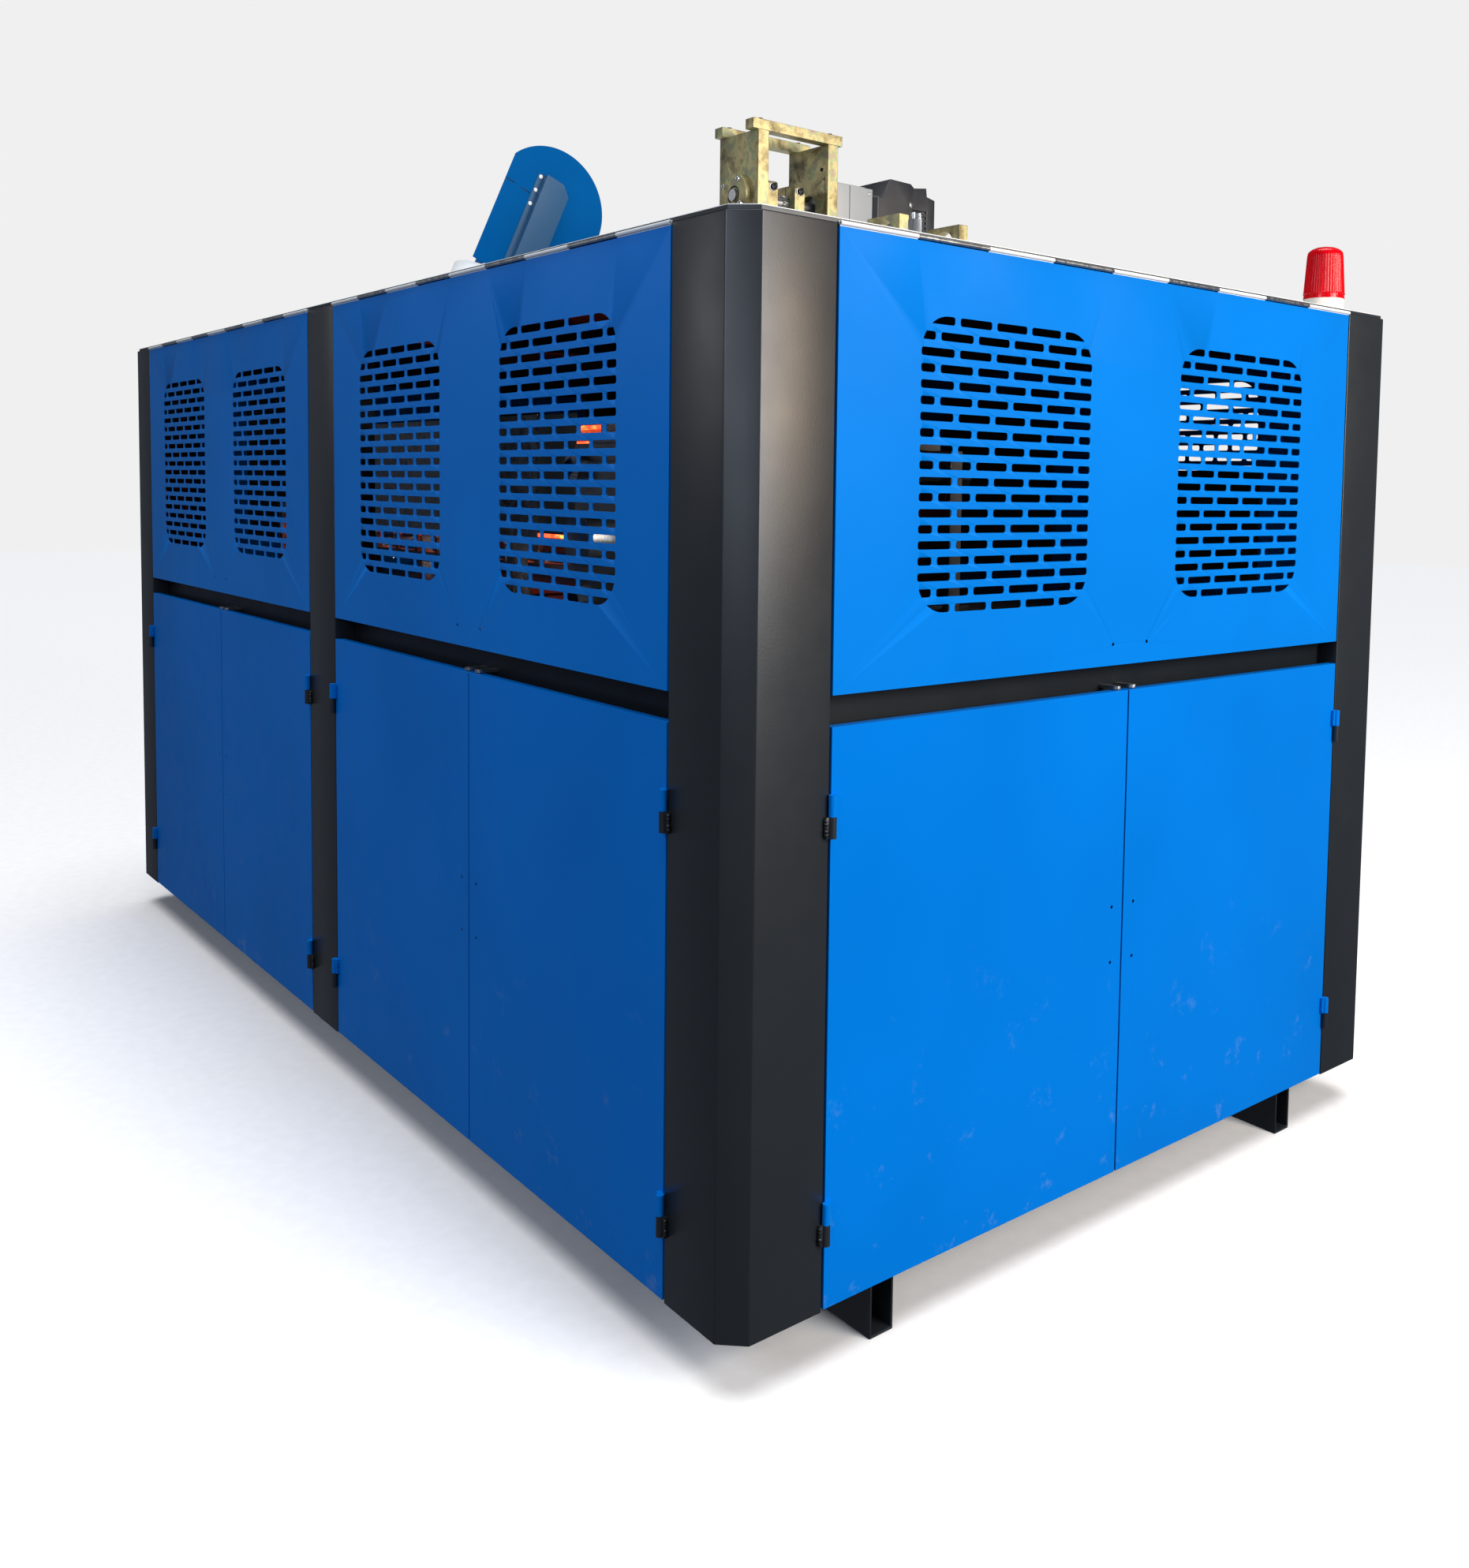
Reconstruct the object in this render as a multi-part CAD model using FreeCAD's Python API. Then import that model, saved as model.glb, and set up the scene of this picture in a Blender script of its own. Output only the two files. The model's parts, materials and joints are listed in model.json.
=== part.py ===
"""Enclosed linear stretch blow moulding machine.

Frame: +X to the right along the long front, +Y to the back, +Z up, origin on the floor under the
middle of the machine. The long front is the -Y side. All sizes are in millimetres.
"""
import math
import os

import FreeCAD
import Part

V = FreeCAD.Vector
Z_AXIS = V(0, 0, 1)
Y_AXIS = V(0, 1, 0)
X_AXIS = V(1, 0, 0)

# ---------------------------------------------------------------- driving dimensions
bay_long = 1665.0           # clear width between two posts of a long side
bay_short = 1700.0          # clear width between two posts of a short side
corner_face = 210.0         # width of a corner post on each of its two sides
mid_face = 190.0            # width of a middle post
chamfer = 45.0              # flat on the outer edge of a corner post
post_h = 2000.0             # height of a post
foot_h = 110.0              # floor to the lower end of the posts
sheet_t = 3.0               # post sheet
fold = 55.0                 # depth of a post's folded return, up to the welded frame

length = 2 * corner_face + mid_face + 2 * bay_long
width = 2 * corner_face + bay_short
half_l = length / 2
half_w = width / 2
post_top = foot_h + post_h

# welded frame of square and rectangular tube
tube_d = 60.0               # depth of a horizontal tube
tube_h = 80.0               # height of a horizontal tube
upright_w = 80.0            # square uprights
tube_t = 4.0
rail_w = 60.0               # skid rails
rail_h = foot_h              # their top carries the frame, level with the posts' feet
rail_t = 5.0
rail_centre_y = 690.0
rail_inset = 10.0           # rail end to the short side's face
bearer_x = (700.0, 1500.0)  # tubes across the base, both sides of the middle
roof_t = 2.0
roof_lip = 8.0              # height of the roof sheet's turned down edge
roof_inset = 6.0
roof_joint = 2.0            # gap between the two roof sheets
frame_top = post_top + roof_lip
roof_z = frame_top + roof_t

# doors and lift-up panels
panel_gap = 5.0
panel_t = 2.0
panel_return = 25.0
door_h = 1098.0             # post foot to door top
door_sill = 4.0             # post foot to door foot
flap_foot = 1156.0          # post foot to the foot of a lift-up panel
deck_over = 11.0            # foot of a lift-up panel to the top of the middle frame
hole_d = 8.0                # screw holes of the missing pull handles
door_hole_edge = 35.0
door_hole_z = (492.0, 617.0)
flap_hole_spacing = 116.0
flap_hole_z = 46.0          # above the panel's foot

# weld-on lift-off hinges of the doors
hinge_d = 15.0
hinge_half = 40.0
hinge_stand = 8.0           # hinge axis in front of the panel face
hinge_split_z = (172.0, 936.0)
hinge_play = 0.6
pin_d = 8.0
pin_clear = 0.05
pad_w = 14.0
pad_gap = 3.0

# barrel hinge along the top of a lift-up panel
barrel_d = 8.0
barrel_stand = 1.0          # barrel axis in front of the panel face
barrel_count = 9
barrel_pin_d = 4.0
barrel_play = 0.5
leaf_t = 2.0
flap_top_drop = 6.0         # barrel axis to the top edge of the panel

# vent windows: rows of slots inside a rounded rectangle
vent_w = 490.0
vent_rows = 19
vent_pitch = 30.5
vent_slot_h = 16.0
vent_gap = 14.0
vent_per_row = 5
vent_slot_r = 5.5
vent_corner_r = 70.0
vent_spacing = 305.0        # between the two windows of a bay
vent_foot = 139.0           # panel foot to the lowest slot

# bed, clamp and stretch unit
bed_t = 20.0
bed_inset = 70.0            # long face to the bed's edge
bed_end_gap = 5.0
cell_inset = 810.0          # right face to the blowing station's centre
cell_y = -385.0
end_plate = (560.0, 40.0, 440.0)
end_plate_inner = 340.0
tie_d = 50.0
tie_x = 245.0
tie_z = (60.0, 380.0)
tie_nut_d = 75.0
tie_nut_h = 30.0
tie_clear = 0.2
platen = (560.0, 40.0, 410.0)
platen_lift = 15.0
mould = (400.0, 80.0, 360.0)
mould_lift = 40.0
mould_open = 110.0          # centre plane to a mould face at rest
slide_clear = 0.05
cavities = 4
cavity_pitch = 95.0
neck_r = 14.0
body_r = 32.0
bottle_h = 200.0
ram_d = 40.0
ram_l = 285.0
cylinder_d = 120.0
cylinder_l = 150.0
cylinder_end_t = 12.0
ram_hole_d = 60.0
nozzle_plate = (400.0, 760.0, 20.0)
nozzle_d = 34.0
nozzle_bore = 13.0
nozzle_gap = 6.0
column_d = 30.0
column_offset = 140.0
collar_d = 44.0
seat_gap = 0.3
carriage = (390.0, 340.0, 25.0)
carriage_lift = 18.0
stretch_rod_d = 10.0
rod_tip_clear = 12.0
top_plate_size = 340.0
top_plate_t = 20.0

# drive on the roof
shaft_offset = 33.0         # station centre to the shaft
shaft_h = 197.0             # shaft axis above the roof
shaft_d = 28.0
shaft_y = (-532.0, -240.0)
tooth_module = 2.0
pinion_teeth = 18
pinion_y = (-392.5, -376.5)
rack_w = 14.0
rack_back = 14.5
rack_top_over = 14.0
backlash = 0.35
slot_clear = 6.0
bracket_w = 154.0
bracket_t = 30.0
bracket_y = (-514.0, -308.0)
bracket_h = 339.0
bar_w = 31.0
bar_h = 23.0
bar_y = (-529.0, -265.0)
rear_bore_d = 60.0
rear_hole_d = 6.0
rear_hole_at = (62.0, 62.0)
flange_d = 100.0
flange_t = 14.0
bearing_d = 44.0
bearing_recess = 2.0
block_w = 74.0
block_t = 29.0
block_top = 42.0            # above the shaft axis
block_y = (-456.0, -376.0)
block_slit = 2.0
block_round = 9.0
servo_w = 120.0
servo_l = 125.0
pilot_l = 12.0
pilot_clear = 0.2
cover_w = 132.0
cover_chamfer = 14.0
idler_offset = 424.0        # drive shaft to the idler plates
idler_w = 105.0
idler_t = 27.0
idler_y = (-435.0, -258.0)
idler_h = 105.0
idler_bore_d = 64.0
idler_bore_h = 64.0

# air inlet on the roof
air_inset = 100.0           # right face to the coupling
air_y = -571.0
air_collar = (40.0, 15.0)
air_hex = (27.5, 30.0)
air_bore_d = 13.0
air_nipple_d = 9.0
air_nipple_h = 13.0
air_tab = (3.0, 40.0, 24.0)

# extraction fan
fan_x = (200.0, 270.0)
fan_rim = 36.0               # front plate beyond the scroll
fan_y = -511.0
fan_h = 299.0               # axis above the roof
fan_r = 170.0
fan_tilt = 23.0             # degrees between the discharge and the vertical
fan_left = 148.0            # axis to the discharge's outer wall
duct_d = 200.0
duct_start = 241.0          # along the discharge, from the axis
duct_ring_start = 288.0
duct_ring_t = 7.0
fan_sheet = 2.0
cover_channel = (81.0, 24.0)
cover_top = 72.0            # along the discharge, above the axis
cover_len = 300.0
cover_left = 49.0
cover_cut = 26.0
fan_eye_r = 80.0
impeller_r = 100.0
impeller_w = 36.0
impeller_blades = 20
fan_shaft_d = 20.0
fan_shaft_back = 45.0        # impeller to the shaft's end in the motor
fan_motor_d = 110.0
fan_motor_l = 50.0

# warning light
beacon_inset = (100.0, 172.0)   # right and back faces to its axis
beacon_base_r = 51.0
beacon_base_h = 37.0
lens_h = 137.0
lens_r = (53.0, 45.0)
dome_h = 16.0
lens_t = 2.5
stub_d = 12.0

# oven and carrier chain
oven_x = (-1250.0, 650.0)
oven_y = 175.0              # cell centre line to the lamp side of a bank
oven_depth = 90.0
oven_lift = 173.0           # above the bed
oven_h = 345.0
oven_t = 2.0
oven_modules = 3
lamp_rows = 8
lamp_d = 11.0
lamp_from_back = 55.0
leg_w = 40.0
leg_from_end = 50.0         # first pair of legs, from the oven's far end
leg_clear = 60.0            # second pair of legs, from the wheel's rim
shield_out = 60.0           # outer reflectors, beyond the chain's path
shield_lift = 203.0         # above the bed
shield_foot = 60.0          # height that a shield stands in its legs
loop_r = 300.0
loop_x = (-1350.0, 450.0)
chain_t = 12.0
chain_clear = 0.8
ledge_t = 12.0
chain_lift = 103.0          # above the bed
chain_h = 30.0
spindle_d = 20.0
spindle_h = 60.0
spindles_run = 12
spindles_turn = 6
wheel_t = 16.0
wheel_shaft_d = 40.0
wheel_hub_d = 110.0
bearing_post_d = 120.0

# cabinet, air tank and the closed lower panel of the left side
cabinet = (880.0, 900.0, 800.0)
cabinet_t = 3.0
tank_d = 450.0
tank_l = 1100.0
tank_y = 300.0
tank_wall = 6.0
tank_dish = 90.0
saddle_t = 40.0
saddle_lift = 55.0
outlet = (600.0, 260.0)     # bottle outlet in the left side
outlet_z = 770.0            # post foot to the outlet

# ---------------------------------------------------------------- places that follow from them
deck = foot_h + flap_foot + deck_over       # top of the middle frame
bed_top = deck + bed_t
cell_x = half_l - cell_inset
shaft_x = cell_x + shaft_offset
shaft_z = roof_z + shaft_h
bracket_top = roof_z + bracket_h
idler_x = shaft_x + idler_offset
air_at = (half_l - air_inset, air_y)
fan_z = roof_z + fan_h
beacon_x = half_l - beacon_inset[0]
beacon_y = half_w - beacon_inset[1]
oven_z = (bed_top + oven_lift, bed_top + oven_lift + oven_h)
leg_x = (oven_x[0] + leg_from_end, loop_x[1] - loop_r - leg_clear)
shield_leg_x = (oven_x[0] + leg_from_end, oven_x[1] - leg_from_end - leg_w)
shield_z = (bed_top + shield_lift, oven_z[1])
chain_z = (bed_top + chain_lift, bed_top + chain_lift + chain_h)
root2 = math.sqrt(2.0)


# ---------------------------------------------------------------- helpers
def box(x0, x1, y0, y1, z0, z1):
    """Box between two corners."""
    return Part.makeBox(x1 - x0, y1 - y0, z1 - z0, V(x0, y0, z0))


def rod(d, start, end):
    """Round bar of diameter d between two points."""
    axis = end - start
    return Part.makeCylinder(d / 2, axis.Length, start, axis)


def prism(points, direction):
    """Extrude a closed outline."""
    return Part.Face(Part.makePolygon(points + [points[0]])).extrude(direction)


def joined(shapes):
    """One solid from shapes that meet."""
    return shapes[0].fuse(shapes[1:]).removeSplitter()


def tube(x0, x1, y0, y1, z0, z1, wall, axis):
    """Rectangular tube between two corners, open along axis 0, 1 or 2."""
    low = [x0, y0, z0]
    high = [x1, y1, z1]
    for i in range(3):
        if i != axis:
            low[i] += wall
            high[i] -= wall
    return box(x0, x1, y0, y1, z0, z1).cut(
        box(low[0], high[0], low[1], high[1], low[2], high[2]))


def folded(points, t, base_z, h, side):
    """Sheet of thickness t along an open outline in the XY plane, its thickness to one side."""
    inner = []
    for i, p in enumerate(points):
        normals = []
        if i > 0:
            d = (p - points[i - 1]).normalize()
            normals.append(V(-d.y, d.x, 0) * side)
        if i < len(points) - 1:
            d = (points[i + 1] - p).normalize()
            normals.append(V(-d.y, d.x, 0) * side)
        n = normals[0]
        if len(normals) == 2:
            n = normals[0] + normals[1]
            n = n * (1.0 / (1.0 + normals[0].dot(normals[1])))
        inner.append(p + n * t)
    outline = [V(p.x, p.y, base_z) for p in points + inner[::-1]]
    return prism(outline, V(0, 0, h))


def placed(shape, side):
    """Turn a panel built on the front face's plane onto its side of the machine."""
    angle, face = SIDES[side]
    out = shape.copy()
    out.translate(V(0, -face, 0))
    out.rotate(V(0, 0, 0), Z_AXIS, angle)
    return out


SIDES = {"front": (0, half_w), "right": (90, half_l), "back": (180, half_w), "left": (270, half_l)}
BAY_CENTRE = (mid_face + bay_long) / 2
PANELS = [
    ("front", "front_1", -BAY_CENTRE, bay_long), ("front", "front_2", BAY_CENTRE, bay_long),
    ("right", "right", 0.0, bay_short), ("back", "back_1", -BAY_CENTRE, bay_long),
    ("back", "back_2", BAY_CENTRE, bay_long), ("left", "left", 0.0, bay_short)]
DOOR_BAYS = [p for p in PANELS if p[0] != "left"]


# ---------------------------------------------------------------- frame and posts
def skid_rails():
    """Two open-ended tubes the whole machine stands on."""
    rails = []
    for y in (-rail_centre_y, rail_centre_y):
        rails.append(tube(-half_l + rail_inset, half_l - rail_inset, y - rail_w / 2, y + rail_w / 2,
                          0, rail_h, rail_t, 0))
    return rails


def welded_frame():
    """Uprights and three rings of tube, butted against each other."""
    out_x = half_l - fold
    out_y = half_w - fold
    corner_x = out_x - upright_w
    corner_y = out_y - upright_w
    tubes = []
    for sy in (-1, 1):
        ya, yb = sorted((sy * out_y, sy * corner_y))
        for xa in (-out_x, -upright_w / 2, corner_x):
            tubes.append(tube(xa, xa + upright_w, ya, yb, rail_h, frame_top, tube_t, 2))
    for z in (rail_h, deck - tube_h, frame_top - tube_h):
        for sy in (-1, 1):
            ya, yb = sorted((sy * out_y, sy * (out_y - tube_d)))
            for xa, xb in ((-corner_x, -upright_w / 2), (upright_w / 2, corner_x)):
                tubes.append(tube(xa, xb, ya, yb, z, z + tube_h, tube_t, 0))
        for xa, xb in ((-out_x, -out_x + tube_d), (-tube_d / 2, tube_d / 2), (out_x - tube_d, out_x)):
            tubes.append(tube(xa, xb, -corner_y, corner_y, z, z + tube_h, tube_t, 1))
    reach = out_y - tube_d
    for x in [s * b for s in (-1, 1) for b in bearer_x]:
        tubes.append(tube(x - tube_d / 2, x + tube_d / 2, -reach, reach, rail_h, rail_h + tube_h,
                          tube_t, 1))
    return tubes


def posts():
    """Folded sheet posts: four corners with a flat on the edge, two in the middle."""
    a = half_l - corner_face
    b = half_w - corner_face
    line = [V(a, -half_w + fold, 0), V(a, -half_w, 0), V(half_l - chamfer, -half_w, 0),
            V(half_l, -half_w + chamfer, 0), V(half_l, -b, 0), V(half_l - fold, -b, 0)]
    corner = folded(line, sheet_t, foot_h, post_h, 1)
    m = mid_face / 2
    line = [V(-m, -half_w + fold, 0), V(-m, -half_w, 0), V(m, -half_w, 0), V(m, -half_w + fold, 0)]
    middle = folded(line, sheet_t, foot_h, post_h, 1)
    zero = V(0, 0, 0)
    left = corner.mirror(zero, X_AXIS)
    return [corner, left, corner.mirror(zero, Y_AXIS), left.mirror(zero, Y_AXIS),
            middle, middle.mirror(zero, Y_AXIS)]


def roof_outline(inset, z):
    """Roof edge, cut across at the corners like the posts."""
    x = half_l - inset
    y = half_w - inset
    c = chamfer - inset * (2 - root2)
    return [V(-x + c, -y, z), V(x - c, -y, z), V(x, -y + c, z), V(x, y - c, z),
            V(x - c, y, z), V(-x + c, y, z), V(-x, y - c, z), V(-x, -y + c, z)]


def roof_sheets():
    """Two roof sheets with turned down edges, and the openings that the roof gear needs."""
    lip_foot = post_top + seat_gap
    whole = prism(roof_outline(roof_inset, lip_foot), V(0, 0, roof_z - lip_foot))
    whole = whole.cut(prism(roof_outline(roof_inset + roof_t, lip_foot), V(0, 0, frame_top - lip_foot)))
    ya, yb = pinion_y
    rack_x = shaft_x - tooth_module * pinion_teeth / 2
    whole = whole.cut(box(rack_x - rack_back - slot_clear, rack_x + slot_clear, ya - slot_clear,
                          yb + slot_clear, lip_foot, roof_z))
    whole = whole.cut(duct_solid(duct_d / 2 - fan_sheet, fan_x[1]))
    reach = half_l + 1
    halves = []
    for xa, xb in ((-reach, -roof_joint / 2), (roof_joint / 2, reach)):
        halves.append(whole.common(box(xa, xb, -half_w, half_w, lip_foot, roof_z)))
    return halves


# ---------------------------------------------------------------- doors and lift-up panels
def pan(u0, u1, z0, z1, depth, skin):
    """Folded pan: a skin on the face plane with returns behind its four edges."""
    t = panel_t
    returns = [box(u0, u0 + t, t, depth, z0, z1), box(u1 - t, u1, t, depth, z0, z1),
               box(u0 + t, u1 - t, t, depth, z0, z0 + t), box(u0 + t, u1 - t, t, depth, z1 - t, z1)]
    return skin.fuse(returns)


def hinge_half_shape(u, z, side, upper):
    """Half of a weld-on hinge: round body, and a pad onto the face on one side of the axis."""
    body = Part.makeCylinder(hinge_d / 2, hinge_half - hinge_play / 2, V(u, -hinge_stand, z))
    ua, ub = sorted((u + side * pad_gap, u + side * pad_w))
    pad = box(ua, ub, -hinge_stand, 0, z, z + hinge_half - hinge_play / 2)
    shape = body.fuse(pad)
    pin_top = hinge_half * 0.75
    if upper:
        return shape.cut(Part.makeCylinder(pin_d / 2 + pin_clear, pin_top + 2, V(u, -hinge_stand, z)))
    pin = Part.makeCylinder(pin_d / 2, hinge_half + pin_top, V(u, -hinge_stand, z))
    return shape.fuse(pin)


def door(centre, bay, hand):
    """One door of a pair; hand is -1 for the left door and 1 for the right one."""
    outer = centre + hand * (bay / 2 - panel_gap)
    inner = centre + hand * panel_gap / 2
    u0, u1 = sorted((outer, inner))
    z0, z1 = foot_h + door_sill, foot_h + door_h
    shape = pan(u0, u1, z0, z1, panel_return, box(u0, u1, 0, panel_t, z0, z1))
    for z in door_hole_z:
        shape = shape.cut(rod(hole_d, V(inner + hand * door_hole_edge, -1, foot_h + z),
                              V(inner + hand * door_hole_edge, panel_t + 1, foot_h + z)))
    axis_u = centre + hand * (bay - panel_gap) / 2
    for z in hinge_split_z:
        shape = shape.fuse(hinge_half_shape(axis_u, foot_h + z + hinge_play / 2, -hand, True))
    return shape


def hinge_pintles():
    """Lower hinge halves with their pins, welded to the posts."""
    shapes = []
    for side, _, centre, bay in DOOR_BAYS:
        for hand in (-1, 1):
            u = centre + hand * (bay - panel_gap) / 2
            for z in hinge_split_z:
                half = hinge_half_shape(u, foot_h + z - hinge_half, hand, False)
                shapes.append(placed(half, side))
    return shapes


def slot_wire(u0, u1, z0, z1, r):
    """Rounded rectangle in the face plane."""
    k = r * (1 - 1 / root2)
    p = [V(u0 + r, 0, z0), V(u1 - r, 0, z0), V(u1, 0, z0 + r), V(u1, 0, z1 - r),
         V(u1 - r, 0, z1), V(u0 + r, 0, z1), V(u0, 0, z1 - r), V(u0, 0, z0 + r)]
    mids = [V(u1 - k, 0, z0 + k), V(u1 - k, 0, z1 - k), V(u0 + k, 0, z1 - k), V(u0 + k, 0, z0 + k)]
    edges = []
    for i in range(4):
        edges.append(Part.LineSegment(p[2 * i], p[2 * i + 1]).toShape())
        edges.append(Part.Arc(p[2 * i + 1], mids[i], p[(2 * i + 2) % 8]).toShape())
    return Part.Wire(edges)


def vent_wires(u0, z0):
    """Slots of one vent window, those at its corners trimmed to its rounded outline."""
    z_top = z0 + (vent_rows - 1) * vent_pitch + vent_slot_h
    window = Part.Face(slot_wire(u0, u0 + vent_w, z0, z_top, vent_corner_r))
    slot_w = (vent_w - (vent_per_row - 1) * vent_gap) / vent_per_row
    step = slot_w + vent_gap
    wires = []
    for row in range(vent_rows):
        za = z0 + row * vent_pitch
        zb = za + vent_slot_h
        near_end = min(za - z0, z_top - zb) < vent_corner_r
        spans = [(i * step, i * step + slot_w) for i in range(vent_per_row)]
        if row % 2:
            shift = step / 2
            spans = [(0.0, slot_w - shift)]
            spans += [(i * step - shift, i * step - shift + slot_w) for i in range(1, vent_per_row)]
            spans += [(vent_w - (slot_w - shift), vent_w)]
        for a, b in spans:
            wire = slot_wire(u0 + a, u0 + b, za, zb, vent_slot_r)
            if near_end and (a < vent_corner_r or b > vent_w - vent_corner_r):
                trimmed = Part.Face(wire).common(window)
                wire = trimmed.Faces[0].OuterWire
            wires.append(wire)
    return wires


def lift_panel(centre, bay):
    """Top-hung panel with two vent windows and its half of the barrel hinge."""
    u0 = centre - bay / 2 + panel_gap
    u1 = centre + bay / 2 - panel_gap
    z0 = foot_h + flap_foot
    z1 = post_top - flap_top_drop
    wires = [Part.makePolygon([V(u0, 0, z0), V(u1, 0, z0), V(u1, 0, z1), V(u0, 0, z1), V(u0, 0, z0)])]
    for sign in (-1, 1):
        start = centre + sign * (vent_spacing + vent_w) / 2 - vent_w / 2
        wires += vent_wires(start, z0 + vent_foot)
        wires.append(Part.Wire(Part.makeCircle(
            hole_d / 2, V(centre + sign * flap_hole_spacing / 2, 0, z0 + flap_hole_z), Y_AXIS)))
    skin = Part.makeFace(wires, "Part::FaceMakerBullseye").extrude(V(0, panel_t, 0))
    parts = []
    seg = (u1 - u0) / barrel_count
    for i in range(0, barrel_count, 2):
        a = u0 + i * seg + barrel_play / 2
        b = a + seg - barrel_play
        barrel = rod(barrel_d, V(a, -barrel_stand, post_top), V(b, -barrel_stand, post_top))
        leaf = box(a, b, 0, leaf_t, z1, post_top)
        bore = rod(barrel_pin_d + 2 * pin_clear, V(a, -barrel_stand, post_top),
                   V(b, -barrel_stand, post_top))
        parts.append(barrel.fuse(leaf).cut(bore))
    return pan(u0, u1, z0, z1, panel_return, skin).fuse(parts)


def panel_hinges():
    """Fixed strips of the barrel hinges with their pins, along the roof's edge."""
    shapes = []
    for side, _, centre, bay in PANELS:
        u0 = centre - bay / 2 + panel_gap
        u1 = centre + bay / 2 - panel_gap
        back = roof_inset
        top = post_top + barrel_d / 2
        strip = box(u0, u1, back - leaf_t, back, post_top - flap_top_drop + leaf_t, top)
        pin = rod(barrel_pin_d, V(u0, -barrel_stand, post_top), V(u1, -barrel_stand, post_top))
        parts = [pin]
        seg = (u1 - u0) / barrel_count
        for i in range(1, barrel_count, 2):
            a = u0 + i * seg + barrel_play / 2
            b = a + seg - barrel_play
            parts.append(rod(barrel_d, V(a, -barrel_stand, post_top), V(b, -barrel_stand, post_top)))
            parts.append(box(a, b, -barrel_stand, back - leaf_t, top - leaf_t, top))
        shapes.append(placed(strip.fuse(parts), side))
    return shapes


def door_catches():
    """Catch blocks on the middle frame that hold the door tops."""
    shapes = []
    for side, _, centre, _ in DOOR_BAYS:
        for hand in (-1, 1):
            u = centre + hand * 26.0
            z = foot_h + door_h + 2.0
            arm = box(u - 10, u + 10, 14.0, fold, z, z + 7.0)
            nose = Part.makeCylinder(10.0, 7.0, V(u, 14.0, z))
            shapes.append(placed(arm.fuse(nose), side))
    return shapes


def left_lower_panel():
    """Screwed panel that closes the left side below, with the bottle outlet."""
    u1 = bay_short / 2 - panel_gap
    z0, z1 = foot_h + door_sill, foot_h + door_h
    shape = pan(-u1, u1, z0, z1, fold, box(-u1, u1, 0, panel_t, z0, z1))
    w, h = outlet
    z = foot_h + outlet_z
    return [placed(shape.cut(box(-w / 2, w / 2, -1, panel_t + 1, z, z + h)), "left")]


# ---------------------------------------------------------------- bed, clamp and stretch unit
def bed_plates():
    """Two steel plates on the middle frame; the right one has the bottle drop opening."""
    y = half_w - bed_inset
    x1 = half_l - fold - upright_w - bed_end_gap
    x0 = upright_w / 2 + bed_end_gap
    left = box(-x1, -x0, -y, y, deck, bed_top)
    right = box(x0, x1, -y, y, deck, bed_top)
    drop = box(cell_x - mould[0] / 2, cell_x + mould[0] / 2, cell_y - mould_open, cell_y + mould_open,
               deck, bed_top)
    return [left, right.cut(drop)]


def cell(dx, dy, z):
    """Point measured from the blowing station's centre and the bed."""
    return V(cell_x + dx, cell_y + dy, bed_top + z)


def block(size, centre_y, lift):
    """Block on the blowing station's centre line."""
    w, d, h = size
    return Part.makeBox(w, d, h, cell(-w / 2, centre_y - d / 2, lift))


def tie_bores(shape, clear, depth, centre_y):
    """Cut the four tie bar bores through a plate."""
    for x in (-tie_x, tie_x):
        for z in tie_z:
            shape = shape.cut(rod(tie_d + 2 * clear, cell(x, centre_y - depth, z),
                                  cell(x, centre_y + depth, z)))
    return shape


def clamp_end_plates():
    """Plates that close the clamp's frame at both ends."""
    shapes = []
    middle_z = end_plate[2] / 2
    for s in (-1, 1):
        y = s * (end_plate_inner + end_plate[1] / 2)
        plate = tie_bores(block(end_plate, y, 0), tie_clear, end_plate[1], y)
        shapes.append(plate.cut(rod(ram_hole_d, cell(0, y - end_plate[1], middle_z),
                                    cell(0, y + end_plate[1], middle_z))))
    return shapes


def tie_bars():
    """Four bars with nuts that carry the platens."""
    shapes = []
    end = end_plate_inner + end_plate[1]
    for x in (-tie_x, tie_x):
        for z in tie_z:
            parts = [rod(tie_d, cell(x, -end - tie_nut_h, z), cell(x, end + tie_nut_h, z))]
            for s in (-1, 1):
                parts.append(rod(tie_nut_d, cell(x, s * end, z), cell(x, s * (end + tie_nut_h), z)))
            shapes.append(joined(parts))
    return shapes


def clamp_cylinders():
    """Closing cylinders on the outer faces of the end plates."""
    shapes = []
    z = end_plate[2] / 2
    start = end_plate_inner + end_plate[1]
    for s in (-1, 1):
        body = rod(cylinder_d, cell(0, s * start, z), cell(0, s * (start + cylinder_l), z))
        bore = rod(ram_d + 2 * slide_clear, cell(0, s * start, z),
                   cell(0, s * (start + cylinder_l - cylinder_end_t), z))
        shapes.append(body.cut(bore))
    return shapes


def platen_parts(s):
    """Moving platen with its ram."""
    y = s * (mould_open + mould[1] + platen[1] / 2)
    plate = tie_bores(block(platen, y, platen_lift), slide_clear, platen[1], y)
    back = s * (mould_open + mould[1] + platen[1])
    z = end_plate[2] / 2
    return [plate, rod(ram_d, cell(0, back, z), cell(0, back + s * ram_l, z))]


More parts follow.
